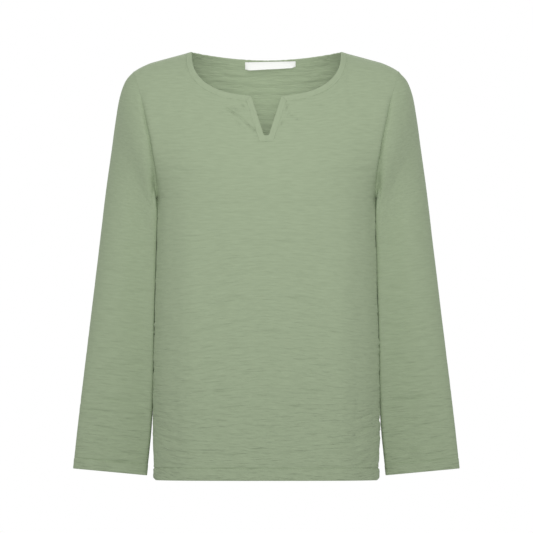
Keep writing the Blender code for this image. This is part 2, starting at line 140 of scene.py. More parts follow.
for name, location, target, size, power in SOFT_LAMPS:
    data = bpy.data.lights.new(name, "AREA")
    data.size = size
    data.energy = power
    add_lamp(name, data, location, target)
for name, location, target, cone, radius, power in SPOTS:
    data = bpy.data.lights.new(name, "SPOT")
    data.spot_size = np.radians(cone)
    data.spot_blend = 1.0
    data.shadow_soft_size = radius
    data.energy = power
    add_lamp(name, data, location, target)
white_room(ROOM_LIGHT)
print(len(SOFT_LAMPS) + len(SPOTS), "lamps and a white room")

# %% [markdown]
# ## The garment's own sizes
#
# These are the driving sizes of the solids, in metres, with Z up, the front facing -Y and the origin
# midway between the shoulder-neck points. Each table has a row of heights and columns for what changes
# along it. Repeating them here lets the cloth be worked out again as finely as it needs to be. A few
# differ by a millimetre or two, where the picture shows the cloth more exactly: the hems' stitches lie
# a little further up and the back neck a little higher.

# %% Sizes and tables
WALL = 0.0012
HEM_DEPTH = 0.0192
CUFF_HEM_DEPTH = 0.0170
HEM_LINE = -0.670
UNDERARM = -0.229
NECK_HALF_WIDTH = 0.1168
SHOULDER_TIP = 0.2075
SHOULDER_SLOPE = 0.285
SHOULDER_CROWN = 0.050
TIP_DROP_START = 0.178
TIP_DROP = 0.0052
NECK_DROP = {"front": 0.0697, "back": 0.0122}
NECK_ROUNDNESS = 2.5
BINDING = 0.0075
SLIT_BINDING = 0.0085
SLIT_TOP_HALF = 0.0237
SLIT_TOP = -0.0705
SLIT_FOOT_HALF = 0.0042
SLIT_FOOT = -0.1312
SLIT_LEAN = (SLIT_TOP_HALF - SLIT_FOOT_HALF) / (SLIT_TOP - SLIT_FOOT)
ROUNDNESS = {"front": 2.3, "back": 2.0}
FALL = {"front": (0.24, 1.6), "back": (0.18, 1.8)}
OUTWARD = {"front": -1, "back": 1}
BODY = {
    "height": (-0.670, -0.640, -0.600, -0.560, -0.480, -0.400, -0.330, -0.270, -0.229),
    "side": (0.1752, 0.1758, 0.1774, 0.1773, 0.1761, 0.1739, 0.1718, 0.1707, 0.1706),
}
YOKE = {
    "height": (-0.229, -0.210, -0.190, -0.170, -0.150, -0.130, -0.105, -0.080, -0.050, -0.029, 0.030),
    "front": (0.1706, 0.1748, 0.1822, 0.1918, 0.2022, 0.2122, 0.2240, 0.2345, 0.2465, 0.2552, 0.2650),
    "back": (0.1706, 0.1790, 0.1912, 0.2055, 0.2200, 0.2330, 0.2480, 0.2610, 0.2750, 0.2837, 0.2950),
}
DEPTH = {
    "height": (-0.670, -0.500, -0.360, -0.270, -0.200, -0.120, 0.030),
    "front": (0.110, 0.111, 0.115, 0.121, 0.125, 0.125, 0.124),
    "back": (0.104, 0.100, 0.098, 0.101, 0.106, 0.109, 0.109),
}
ARMHOLE = {
    "rise": (0.00, 0.07, 0.20, 0.35, 0.50, 0.70, 1.00),
    "front": (100.4, 90.0, 78.0, 66.0, 57.5, 53.0, 52.0),
    "back": (100.4, 107.0, 117.5, 126.5, 131.5, 133.0, 133.0),
}
FOLDS = {
    "side": ("front", "front", "back", "back"),
    "across": (0.118, 0.000, 0.085, 0.000),
    "width": (0.030, 0.018, 0.030, 0.024),
    "stands_out": (0.0055, -0.0035, 0.0070, -0.0050),
    "fades_in": ((-0.20, -0.42), (-0.28, -0.48), (-0.18, -0.45), (-0.22, -0.50)),
}
SLEEVE_COLUMNS = ("along", "outer_x", "outer_z", "inner_x", "inner_z", "depth", "middle_y")
SLEEVE_ROWS = (
    (0.00, 0.2075, -0.0290, 0.1678, -0.2290, 0.0620, 0.0100),
    (0.02, 0.2140, -0.0365, 0.1700, -0.2305, 0.0640, 0.0140),
    (0.05, 0.2220, -0.0500, 0.1704, -0.2350, 0.0650, 0.0170),
    (0.10, 0.2302, -0.0760, 0.1703, -0.2440, 0.0640, 0.0210),
    (0.15, 0.2350, -0.1040, 0.1699, -0.2560, 0.0620, 0.0250),
    (0.22, 0.2412, -0.1480, 0.1692, -0.2720, 0.0585, 0.0290),
    (0.30, 0.2500, -0.2120, 0.1690, -0.2950, 0.0550, 0.0310),
    (0.40, 0.2600, -0.2960, 0.1699, -0.3420, 0.0500, 0.0310),
    (0.55, 0.2730, -0.4050, 0.1728, -0.4280, 0.0400, 0.0290),
    (0.70, 0.2833, -0.4900, 0.1756, -0.5060, 0.0310, 0.0260),
    (0.85, 0.2926, -0.5700, 0.1797, -0.5830, 0.0240, 0.0230),
    (1.00, 0.3009, -0.6504, 0.1876, -0.6610, 0.0200, 0.0210),
)
SLEEVE = dict(zip(SLEEVE_COLUMNS, zip(*SLEEVE_ROWS)))
ARMHOLE_SHAPE_FADES = 0.20
print(len(SLEEVE_ROWS), "rows for a sleeve,", len(BODY["height"]) + len(YOKE["height"]), "for the body")

# %% [markdown]
# ## Curves through the tables
#
# A straight line from row to row would show as bands of light on the cloth. A cubic through the rows
# is smooth, and limiting its slopes keeps it from overshooting them, so the outline has no bulge that
# the table doesn't state.

# %% Smooth columns
def smooth(table, column, at, key="height"):
    """A column as a cubic between its rows. An inner slope is the harmonic mean of the slopes beside it."""
    knots = np.array(table[key], float)
    values = np.array(table[column], float)
    at = np.clip(np.asarray(at, float), knots[0], knots[-1])
    step = np.diff(knots)
    rise = np.diff(values) / step
    slope = np.concatenate([rise[:1], np.zeros(len(rise) - 1), rise[-1:]])
    same_way = rise[:-1] * rise[1:] > 0
    both = np.where(same_way, rise[:-1] + rise[1:], 1.0)
    slope[1:-1] = np.where(same_way, 2 * rise[:-1] * rise[1:] / both, 0.0)
    i = np.clip(np.searchsorted(knots, at) - 1, 0, len(step) - 1)
    t = (at - knots[i]) / step[i]
    return (
        values[i] * (1 + 2 * t) * (1 - t) ** 2
        + slope[i] * step[i] * t * (1 - t) ** 2
        + values[i + 1] * t**2 * (3 - 2 * t)
        - slope[i + 1] * step[i] * t**2 * (1 - t)
    )


def ease(t):
    """0 to 1 with level ends: t squared times (3 - 2t)."""
    t = np.clip(t, 0.0, 1.0)
    return t * t * (3 - 2 * t)


def fade(value, start, end):
    """An ease from 0 where the value is at start to 1 where it is at end, whichever of them is larger."""
    return ease((value - start) / (end - start))


def bell(distance, width):
    """A bell curve: e to the power of minus the square of distance over width."""
    return np.exp(-((distance / width) ** 2))


def unit(vectors):
    """Vectors of length one."""
    return vectors / np.maximum(np.linalg.norm(vectors, axis=-1, keepdims=True), 1e-12)


print(f"half width at the hem {float(smooth(BODY, 'side', HEM_LINE)):.4f} m")

# %% [markdown]
# ## The body's surface
#
# Seen from above, the body is a rounded oval: a superellipse, whose roundness lies between an ellipse
# and a box. Its width and depth come from the tables. Near the shoulder line the depth falls to
# nothing along a rounded curve, which lays the cloth over the shoulder, and soft vertical folds are
# bumps of the bell curve added to the depth.

# %% Body surface
def shoulder_height(x):
    """The shoulder line: a hyperbola, level at the centre and steep outwards, and eased down at the tip."""
    crown = np.hypot(NECK_HALF_WIDTH, SHOULDER_CROWN) - np.hypot(x, SHOULDER_CROWN)
    return SHOULDER_SLOPE * crown - TIP_DROP * fade(x, TIP_DROP_START, SHOULDER_TIP)


def closing_width(part, z):
    """Half width at which the front or the back closes round the side."""
    return np.where(z < UNDERARM, smooth(BODY, "side", z), smooth(YOKE, part, z))


def fold(part, x, z):
    """Vertical folds: each is a bell curve across, times an ease from its top to its bottom."""
    out = np.zeros(np.broadcast(x, z).shape)
    rows = zip(*(FOLDS[k] for k in ("side", "across", "width", "stands_out", "fades_in")))
    for side, across, width, stands_out, (top, bottom) in rows:
        if side == part:
            out = out + stands_out * bell(np.abs(x) - across, width) * fade(z, top, bottom)
    return out


def body_point(part, angle, z):
    """x is width times sin(angle)^(2/n), and y is depth times cos(angle)^(2/n) times the fall, plus folds."""
    angle, z = np.broadcast_arrays(np.asarray(angle, float), np.asarray(z, float))
    ahead = np.cos(angle) >= 0
    power = 2 / np.where(ahead, ROUNDNESS["front"], ROUNDNESS["back"])
    x = closing_width(part, z) * np.abs(np.sin(angle)) ** power
    y = np.zeros_like(x)
    for name, here in (("front", ahead), ("back", ~ahead)):
        reach, fullness = FALL[name]
        fall = np.clip((shoulder_height(x) - z) / reach, 0, 1)
        turned = np.sqrt(1 - (1 - fall) ** fullness)
        out = smooth(DEPTH, name, z) * np.abs(np.cos(angle)) ** power * turned + fold(name, x, z)
        y = np.where(here, OUTWARD[name] * out, y)
    return np.stack([x, y, z], axis=-1)


def angle_at(part, x, z):
    """The angle whose point is seen at x and z: the superellipse solved backwards."""
    ahead = np.arcsin(np.clip((x / closing_width(part, z)) ** (ROUNDNESS[part] / 2), 0, 1))
    return ahead if part == "front" else np.pi - ahead


def on_body(part, x, z):
    """Points of the body seen at x and z, for either sign of x."""
    points = body_point(part, angle_at(part, np.abs(x), z), z)
    points[..., 0] = x
    return points


print(f"depth in front of the middle at the chest {float(-body_point('front', 0.0, -0.2)[1]):.4f} m")

# %% [markdown]
# ## The cut edges
#
# The neckline, the slit and the armholes are curves on that surface. The neckline is a quarter of a
# superellipse in front and a shallow parabola behind. The slit leans outwards in a straight V. An
# offset moves each curve outwards, so the same functions give a binding's free edge and sewn edge.

# %% Edges of the cut
def neck_edge(part, offset, steps, crowding=0.0):
    """x and z from the slit's corner, or centre back, to the shoulder; crowding shortens the first steps."""
    t = np.linspace(0, 1, steps + 1)
    t = t * (1 - crowding + crowding * t)
    half = NECK_HALF_WIDTH + offset
    shoulder = shoulder_height(half)
    drop = NECK_DROP[part] + offset + shoulder
    if part == "back":
        return half * t, shoulder - drop * (1 - t**2)
    start = SLIT_TOP_HALF + offset * (SLIT_BINDING / BINDING * np.hypot(1, SLIT_LEAN) - SLIT_LEAN)
    turn = np.arccos((start / half) ** (NECK_ROUNDNESS / 2)) * (1 - t)
    x = half * np.cos(turn) ** (2 / NECK_ROUNDNESS)
    return x, shoulder - drop * np.sin(turn) ** (2 / NECK_ROUNDNESS)


def slit_corners(offset):
    """The slit's foot height, foot half width and top corner, offset outwards."""
    corner_x, corner_z = (float(v[0]) for v in neck_edge("front", offset * BINDING / SLIT_BINDING, 1))
    foot_z = SLIT_FOOT - offset
    return foot_z, corner_x - SLIT_LEAN * (corner_z - foot_z), corner_x, corner_z


def armhole_curve(part, rise):
    """Angle and height of the armhole seam, from the underarm at rise 0 to the shoulder tip at rise 1."""
    tip = float(shoulder_height(SHOULDER_TIP))
    z = UNDERARM + (tip - UNDERARM) * (1 - np.cos(np.pi * rise)) / 2
    angle = np.radians(smooth(ARMHOLE, part, rise, key="rise"))
    angle[-1] = angle_at(part, SHOULDER_TIP, tip)
    return angle, z


print("slit foot, half width, corner:", [round(v, 4) for v in slit_corners(0.0)])

# %% [markdown]
# ## How soft cloth settles
#
# Cloth leaves its formula where it is pushed. In the crotch under the arm it fills the groove between
# the body and the sleeve from behind, so no dark gap shows there, and the tip of the shoulder is worn
# round. Both are small shifts by a point's own place. The panels and the sleeves get the same shifts,
# so they still meet at their seams.

# %% Settled cloth
SIDE_FILL = {
    "height": (-0.670, -0.560, -0.320, -0.250, -0.215, -0.185, -0.150),
    "by": (0.010, 0.018, 0.022, 0.036, 0.038, 0.022, 0.000),
}
SIDE_LINE = 0.1725
SIDE_REACH = 0.014
FILL_FRONT = -0.045
FILL_FULL = 0.020
FILL_BACK = 0.080
TIP_SETTLES = {
    "x": (0.182, 0.188, 0.194, 0.200, 0.2055, 0.2100, 0.2150, 0.2196, 0.2259, 0.2330, 0.2420),
    "by": (0.0, 0.0003, 0.0008, 0.0007, -0.0006, -0.0011, -0.0003, 0.0009, 0.0018, 0.0012, 0.0),
}
TIP_DEPTH = 0.030


def settled(points):
    """Forward by a bell curve about the side line, and up or down where the outline is near."""
    x, y, z = (points[..., k] for k in range(3))
    beside = smooth(SIDE_FILL, "by", z) * bell(x - SIDE_LINE, SIDE_REACH)
    behind = fade(y, FILL_FRONT, FILL_FULL) * fade(y, FILL_BACK, FILL_FULL)
    on_sleeve = np.interp(x, SLEEVE["outer_x"], SLEEVE["outer_z"])
    outline = np.where(x < SHOULDER_TIP, shoulder_height(x), on_sleeve)
    tip = smooth(TIP_SETTLES, "by", x, key="x") * ease(1 - (outline - z) / TIP_DEPTH)
    return np.stack([x, y - beside * behind, z + tip], axis=-1)


print(f"under the arm the cloth comes forward by up to {max(SIDE_FILL['by']) * 1000:.0f} mm")

# %% [markdown]
# ## A grid over each panel
#
# A panel is a grid of points: rows from the hem up, columns from the centre out. Below the underarm it
# is a plain rectangle of angle and height. Above it four curves bound it: the row at the underarm, the
# armhole, the neckline with the shoulder, and centre front with the slit, or centre back. A Coons patch
# fills the space between four curves: it adds the two straight blends between opposite sides and takes
# away the one between the corners. Half a panel is enough, since the cut is the same on both sides.

# %% Panel grids
ROWS_BELOW = 240
ROWS_TO_FOOT = 56
ROWS_AT_FOOT = 5
ROWS_YOKE = 122
COLUMNS_NECK = 40
COLUMNS_SHOULDER = 20
COLUMNS = COLUMNS_NECK + COLUMNS_SHOULDER
NECK_CROWDING = {"front": 0.58, "back": -0.30}
PANEL_HALF_WIDTH = 0.225
NEAR_SEAM = np.array([0.0080, 0.0052, 0.0032, 0.0018, 0.0008, 0.0])
NEAR_EDGE = np.array([0.0, 0.0006, 0.0014, 0.0026, 0.0044])
NEAR_STITCHES = np.array([-0.0036, -0.0024, -0.0016, -0.0010, -0.0005, 0.0, 0.0005, 0.0010, 0.0016, 0.0024])
HEM_STEPS = 7


def to_seam(length, count):
    """Shares of a length in count even steps, with short steps at its far end, where the seam lies."""
    even = np.linspace(0, 1 - NEAR_SEAM[0] / length, count - len(NEAR_SEAM) + 2)[:-1]
    return np.concatenate([even, 1 - NEAR_SEAM / length])


def hem_steps(depth):
    """Distances from a hem's edge, with short steps at the edge and at the stitches."""
    stitches = depth + NEAR_STITCHES
    between = np.linspace(NEAR_EDGE[-1], stitches[0], HEM_STEPS)[1:-1]
    return np.concatenate([NEAR_EDGE, between, stitches])


def coons(bottom, top, left, right, u):
    """(1-v) bottom + v top + (1-u) left + u right, less the bilinear blend of the four corners."""
    u = u[None, :, None]
    v = np.linspace(0, 1, len(left))[:, None, None]
    edges = (1 - v) * bottom[None] + v * top[None] + (1 - u) * left[:, None] + u * right[:, None]
    low = (1 - u) * bottom[0] + u * bottom[-1]
    high = (1 - u) * top[0] + u * top[-1]
    return edges - (1 - v) * low - v * high


def centre_edge(part, top_z):
    """x and z up the middle of the yoke: straight up behind, and in front round the foot and up the slit."""
    if part == "back":
        return np.zeros(ROWS_YOKE + 1), np.linspace(UNDERARM, top_z, ROWS_YOKE + 1)
    foot_z, foot_x, corner_x, corner_z = slit_corners(SLIT_BINDING)
    slit_rows = ROWS_YOKE - ROWS_TO_FOOT - ROWS_AT_FOOT
    below = np.linspace((0, UNDERARM), (0, foot_z), ROWS_TO_FOOT + 1)[:-1]
    foot = np.linspace((0, foot_z), (foot_x, foot_z), ROWS_AT_FOOT + 1)
    slit = np.linspace((foot_x, foot_z), (corner_x, corner_z), slit_rows + 1)[1:]
    return np.concatenate([below, foot, slit]).T


def panel_grid(part):
    """Angle and height of a half panel's points, as an array of rows, columns and two values."""
    rise = np.arccos(1 - 2 * np.linspace(0, 1, ROWS_YOKE + 1)) / np.pi
    side_angle, side_z = armhole_curve(part, rise)
    start = 0.0 if part == "front" else np.pi
    share = to_seam(PANEL_HALF_WIDTH, COLUMNS)
    across = start + (side_angle[0] - start) * share
    neck_x, neck_z = neck_edge(part, BINDING, COLUMNS_NECK, NECK_CROWDING[part])
    shoulder = SHOULDER_TIP - neck_x[-1]
    shoulder_x = neck_x[-1] + shoulder * to_seam(shoulder, COLUMNS_SHOULDER)[1:]
    top_x = np.concatenate([neck_x, shoulder_x])
    top_z = np.concatenate([neck_z, shoulder_height(shoulder_x)])
    middle_x, middle_z = centre_edge(part, top_z[0])
    yoke = coons(
        np.stack([across, np.full(COLUMNS + 1, UNDERARM)], axis=1),
        np.stack([angle_at(part, top_x, top_z), top_z], axis=1),
        np.stack([angle_at(part, middle_x, middle_z), middle_z], axis=1),
        np.stack([side_angle, side_z], axis=1),
        share,
    )
    hem = HEM_LINE + hem_steps(HEM_DEPTH)
    rows = np.concatenate([hem[:-1], np.linspace(hem[-1], UNDERARM, ROWS_BELOW + 1)[:-1]])
    lower = np.stack(np.broadcast_arrays(across[None, :], rows[:, None]), axis=-1)
    return np.concatenate([lower, yoke])


TOUCH = 1e-6
panels = {}
for part in ("front", "back"):
    grid = panel_grid(part)
    panels[part] = settled(body_point(part, grid[..., 0], grid[..., 1]))
    # Centre points lie on x = 0 exactly, so that the two halves can share them
    panels[part][panels[part][:, 0, 0] < TOUCH, 0, 0] = 0.0
    print(part, "half panel", panels[part].shape[:2])

# %% [markdown]
# ## A sleeve as rings
#
# A sleeve is a tube of rings from the armhole to the cuff. Each ring is an oval between an outer and an
# inner rail, which are the two lines that the sleeve shows from the front. The first ring is the
# armhole curve itself, and its shape fades into the plain oval over the first fifth of the sleeve. The
# rings start at the underarm, where the real sleeve has its one seam. Towards the body the front of
# each ring is squarer than an oval, because the cloth there rests on the side, and the cuff is worn a
# millimetre or two wider and longer than it was cut.

# %% Sleeve rings
RISES_AT_SEAM = np.array([0.0, 0.0025, 0.006, 0.011, 0.018])
RISES = np.concatenate([RISES_AT_SEAM, np.linspace(0.030, 1, 44)])
RING_TURN = np.pi * np.concatenate([1 + RISES, 1 - RISES[-2:0:-1]])
SLEEVE_RINGS = 300
SLEEVE_RUN = 0.53
INNER_ROUNDNESS = 4.4
FULL_FROM = 0.06
FULL_WIDE_FROM = 0.22
INNER_EDGE = (0.75, 0.95)
CONTACT_GAP = 0.0010
CONTACT_FADES = 0.010
CUFF_WORN = {
    "along": (0.00, 0.10, 0.30, 0.70, 0.90, 1.00),
    "wider": (0.0, 0.0003, 0.0006, 0.0009, 0.0014, 0.0018),
    "longer": (0.0, 0.0, 0.0, 0.0002, 0.0010, 0.0017),
}


def body_side(y, z):
    """Half width of the body at a depth y: the superellipse solved for x."""
    share = {}
    for part, power in ROUNDNESS.items():
        share[part] = np.clip(1 - (np.abs(y) / smooth(DEPTH, part, z)) ** power, 0, 1) ** (1 / power)
    return smooth(BODY, "side", z) * np.where(y < 0, share["front"], share["back"])


def inner_fullness(along):
    """Share of the depth by which a ring's inner front passes its oval: a squarer oval, eased in twice."""
    boxy = np.clip(1 - np.abs(np.cos(RING_TURN)) ** INNER_ROUNDNESS, 0, 1) ** (1 / INNER_ROUNDNESS)
    inner_front = (np.sin(RING_TURN) > 0) & (np.cos(RING_TURN) < 0)
    fuller = np.where(inner_front, boxy - np.sin(RING_TURN), 0.0) * ease(along / FULL_FROM)
    wide = ease(along / FULL_WIDE_FROM)
    return fuller * (wide + (1 - wide) * fade(-np.cos(RING_TURN), *INNER_EDGE))


def sleeve_rings():
    """Rings of the +X sleeve: middle plus reach times cos(turn), and the oval's depth times sin(turn)."""
    front, back = (body_point(part, *armhole_curve(part, RISES)) for part in ("front", "back"))
    armhole = np.concatenate([back, front[-2:0:-1]])
    top, cuff = NEAR_EDGE / SLEEVE_RUN, 1 - hem_steps(CUFF_HEM_DEPTH)[::-1] / SLEEVE_RUN
    along = np.concatenate([top[:-1], np.linspace(top[-1], cuff[0], SLEEVE_RINGS), cuff[1:]])
    column = {k: smooth(SLEEVE, k, along, key="along")[:, None] for k in SLEEVE_COLUMNS[1:]}
    worn = {k: smooth(CUFF_WORN, k, along, key="along")[:, None] for k in ("wider", "longer")}
    outer = np.stack([column["outer_x"], column["outer_z"]], axis=-1)
    inner = np.stack([column["inner_x"], column["inner_z"]], axis=-1)
    centre, reach = (outer + inner) / 2, (outer - inner) / 2
    square = np.stack([-reach[..., 1], reach[..., 0]], axis=-1)
    seam = armhole[:, [0, 2]] - centre[0]
    size = (reach[0] ** 2).sum()
    seam_along = (seam * reach[0]).sum(axis=-1) / size
    seam_aside = (seam * square[0]).sum(axis=-1) / size
    kept = 1 - ease(along / ARMHOLE_SHAPE_FADES)[:, None]
    oval = column["middle_y"] - column["depth"] * np.sin(RING_TURN)
    y = kept * armhole[:, 1] + (1 - kept) * oval - column["depth"] * inner_fullness(along[:, None])
    share_along = kept * seam_along + (1 - kept) * np.cos(RING_TURN)
    share_aside = kept**2 * seam_aside
    flat = centre + share_along[..., None] * reach + share_aside[..., None] * square
    x = flat[..., 0] + worn["wider"] * np.clip(share_along, 0, None)
    z = flat[..., 1] - worn["longer"]
    touching = body_side(y, z) + CONTACT_GAP * fade(z, UNDERARM, UNDERARM - CONTACT_FADES)
    x = np.where(z < UNDERARM, np.maximum(x, touching), x)
    return settled(np.stack([x, y, z], axis=-1))


rings = sleeve_rings()
print("sleeve", rings.shape[:2], "rings and points")

# %% [markdown]
# ## Where a point lies on the flat cloth
#
# Crinkle and weave belong to the flat cloth, before it is worn. So every point gets cloth coordinates
# in metres: how far across, and how far up. They are lengths measured along the rows and along the
# columns of the grid, and they become the UV map too, which keeps the weave at its true scale. The rows
# of the cloth aren't quite level on the garment: they bow upwards over the belly, and the hem's corners
# draw them up at the sides.

# %% Cloth coordinates
def length_along(points, axis):
    """Running length of the lines of a grid, from 0 at each line's start."""
    steps = np.linalg.norm(np.diff(points, axis=axis), axis=-1)
    start = np.zeros_like(np.take(steps, [0], axis=axis))
    return np.concatenate([start, np.cumsum(steps, axis=axis)], axis=axis)


def grid_normals(points, outward):
    """Unit normals: the cross product of the two grid directions, turned the way that outward says."""
    normals = unit(np.cross(np.gradient(points, axis=0), np.gradient(points, axis=1)))
    middle = normals[len(normals) // 2, normals.shape[1] // 2]
    return normals * (1 if middle @ np.array(outward, float) > 0 else -1)


def ring_normals(rings):
    """The same for closed rings, where the last point's neighbour is the first."""
    around = np.roll(rings, -1, axis=1) - np.roll(rings, 1, axis=1)
    normals = unit(np.cross(np.gradient(rings, axis=0), around))
    outward = rings[-1] - rings[-1].mean(axis=0)
    return normals * (1 if (normals[-1] * outward).sum() > 0 else -1)


SHOULDER_ARC = 0.35
BELLY_BOW = 0.10
BELLY_SOFT = 0.03
BELLY_LOWER = (-0.60, -0.50)
BELLY_UPPER = (-0.20, -0.34)
CORNER_BOW = 0.40
CORNER_BOW_FROM = 0.145
CORNER_BOW_SOFT = 0.016
CORNER_HEIGHTS = (-0.50, -0.60)


def panel_flat(points):
    """Across and up on a half panel. Up is height, plus the slope over the shoulder, plus the rows' bow."""
    x, z = points[..., 0], points[..., 2]
    across = x[:, :1] + length_along(points, 1)
    out = np.abs(points[..., 1])
    turned = np.clip(out[-ROWS_YOKE - 1] - out, 0, None) * (z > UNDERARM)
    belly = fade(z, *BELLY_LOWER) * fade(z, *BELLY_UPPER)
    beyond = x - CORNER_BOW_FROM
    beyond = (beyond + np.hypot(beyond, CORNER_BOW_SOFT)) / 2
    bow = BELLY_BOW * belly * (np.hypot(x, BELLY_SOFT) - BELLY_SOFT)
    bow -= CORNER_BOW * fade(z, *CORNER_HEIGHTS) * beyond
    return across, z - HEM_LINE + SHOULDER_ARC * turned + bow


across, up = panel_flat(panels["back"])
print(f"half the back is {across.max():.3f} m across and {up.max():.3f} m long")

# %% [markdown]
# ## Crinkle
#
# The cloth is a light crinkled cotton. Its crinkles are short, flat waves that run crosswise: 16 to 55
# mm long, 3 to 9 mm apart and a fraction of a millimetre high. Smooth random noise on a lattice of long
# flat cells looks like that when three sizes are added up, the lines are bent a little by slower
# noise, and the strength comes and goes in patches. A fixed seed gives the same cloth each time. Each
# piece has its own seed, and each pattern on it adds its own step to that seed.

# %% Noise and crinkle
SEEDS = {"front": 11, "back": 111, "sleeve_left": 211, "sleeve_right": 311}
PATCH_SEED, BILLOW_SEED, PUCKER_SEED, HEM_SEED = 9, 20, 30, 40
LATTICE = 256
CRINKLE_SIZES = (
    (1.0, (0.024, 0.0044)),
    (0.6, (0.016, 0.0034)),
    (0.8, (0.055, 0.0088)),
)
CRINKLE_HEIGHT = 0.00026
CRINKLE_BEND = 0.0040
BEND_CELL = (0.060, 0.040)
PATCH_CELL = (0.055, 0.032)
PATCH_MIDDLE = 0.75
PATCH_LEAST = 0.15
BILLOW_SIZES = (
    (1.0, (0.090, 0.060)),
    (0.5, (0.045, 0.030)),
)
BILLOW_HEIGHT = 0.0007


def noise(across, up, cell, seed):
    """Random values at the corners of a lattice of cells, blended by 6t^5 - 15t^4 + 10t^3 between them."""
    values = np.random.default_rng(seed).uniform(-1, 1, (LATTICE, LATTICE))
    x, y = across / cell[0], up / cell[1]
    i, j = np.floor(x).astype(int), np.floor(y).astype(int)
    s, t = (f**3 * (f * (6 * f - 15) + 10) for f in (x - i, y - j))
    corner = [[values[(i + a) % LATTICE, (j + b) % LATTICE] for b in (0, 1)] for a in (0, 1)]
    low = corner[0][0] * (1 - s) + corner[1][0] * s
    high = corner[0][1] * (1 - s) + corner[1][1] * s
    return low * (1 - t) + high * t


def layers(across, up, sizes, seed):
    """Several sizes of noise added up, each by its share and with the next seed."""
    return sum(share * noise(across, up, cell, seed + k) for k, (share, cell) in enumerate(sizes))


def crinkle(across, up, strength, seed):
    """Three sizes of noise along bent lines, times patches, times the strength at each place."""
    bent = up + CRINKLE_BEND * noise(across, up, BEND_CELL, seed)
    patches = PATCH_MIDDLE * (1 + noise(across, up, PATCH_CELL, seed + PATCH_SEED))
    total = layers(across, bent, CRINKLE_SIZES, seed + 1)
    return CRINKLE_HEIGHT * strength * np.clip(patches, PATCH_LEAST, None) * total


def billow(across, up, seed):
    """Slow, shallow swellings of loose cloth, wider than they are high."""
    return BILLOW_HEIGHT * layers(across, up, BILLOW_SIZES, seed + BILLOW_SEED)


print("crinkle", CRINKLE_HEIGHT * 1000, "mm high")

# %% [markdown]
# ## Creases placed one by one
#
# Besides the all-over crinkle, the picture shows single creases: short pulls beside the armholes, a fan
# of fine ones beside the slit, slanting lines over the belly, and deeper ones above the hem's corners
# and down the sleeves. Each is a soft trough or ridge with its own place, length, slope, width and
# height. The picture's two halves mirror each other closely, so a crease is listed once, for both
# sides, and the noise keeps the halves from being the same. Only the pulls beside the slit differ from
# side to side.

# %% Crease tables
CREASE_COLUMNS = ("across", "height", "half_length", "slope", "width", "stands_out")
FRONT_CREASES = (
    (0.1405, -0.580, 0.075, 90, 0.0030, -0.00040),
    (0.1240, -0.430, 0.070, 90, 0.0028, -0.00030),
    (0.0760, -0.460, 0.230, 90, 0.0160, -0.00060),
    (0.1220, -0.450, 0.250, 90, 0.0140, 0.00070),
    (0.0000, -0.570, 0.140, 90, 0.0080, -0.00040),
    (0.060, -0.098, 0.022, 20, 0.0050, 0.00030),
    (0.150, -0.066, 0.016, 8, 0.0032, -0.00045),
    (0.137, -0.078, 0.015, 4, 0.0030, -0.00035),
    (0.154, -0.089, 0.017, 6, 0.0032, -0.00055),
    (0.158, -0.102, 0.014, 0, 0.0028, -0.00040),
    (0.110, -0.096, 0.020, 10, 0.0040, -0.00035),
    (0.148, -0.128, 0.022, -4, 0.0036, -0.00065),
    (0.152, -0.146, 0.018, 2, 0.0030, -0.00050),
    (0.146, -0.158, 0.020, -6, 0.0034, -0.00060),
    (0.152, -0.171, 0.016, -8, 0.0036, -0.00045),
    (0.142, -0.186, 0.022, -3, 0.0040, -0.00065),
    (0.148, -0.200, 0.014, -10, 0.0030, -0.00035),
    (0.090, -0.180, 0.034, 3, 0.0110, 0.00070),
    (0.060, -0.240, 0.030, -3, 0.0050, -0.00040),
    (0.035, -0.300, 0.024, -8, 0.0036, -0.00045),
    (0.012, -0.306, 0.018, -6, 0.0034, -0.00040),
    (0.045, -0.348, 0.026, -12, 0.0036, -0.00060),
    (0.070, -0.368, 0.022, -15, 0.0034, -0.00055),
    (0.062, -0.380, 0.024, -16, 0.0032, 0.00045),
    (0.060, -0.392, 0.026, -15, 0.0036, -0.00065),
    (0.042, -0.386, 0.014, 12, 0.0028, -0.00050),
    (0.025, -0.420, 0.022, -5, 0.0034, -0.00045),
    (0.082, -0.432, 0.030, -14, 0.0040, -0.00060),
    (0.058, -0.466, 0.024, -10, 0.0036, -0.00050),
    (0.095, -0.492, 0.028, -12, 0.0038, -0.00060),
    (0.030, -0.512, 0.022, -4, 0.0034, -0.00045),
    (0.076, -0.532, 0.030, -16, 0.0036, -0.00070),
    (0.050, -0.556, 0.026, -8, 0.0036, -0.00060),
    (0.110, -0.566, 0.020, -6, 0.0032, -0.00055),
    (0.160, -0.566, 0.014, 24, 0.0030, -0.00060),
    (0.156, -0.590, 0.016, 26, 0.0032, -0.00075),
    (0.148, -0.606, 0.022, 16, 0.0034, -0.00080),
    (0.120, -0.612, 0.026, 4, 0.0034, -0.00060),
    (0.082, -0.602, 0.024, -6, 0.0034, -0.00055),
    (0.118, -0.626, 0.028, 3, 0.0036, -0.00075),
    (0.153, -0.628, 0.014, 22, 0.0032, -0.00080),
    (0.100, -0.634, 0.024, -2, 0.0030, -0.00055),
    (0.040, -0.630, 0.026, -3, 0.0034, -0.00050),
    (0.152, -0.643, 0.012, 12, 0.0030, -0.00090),
)
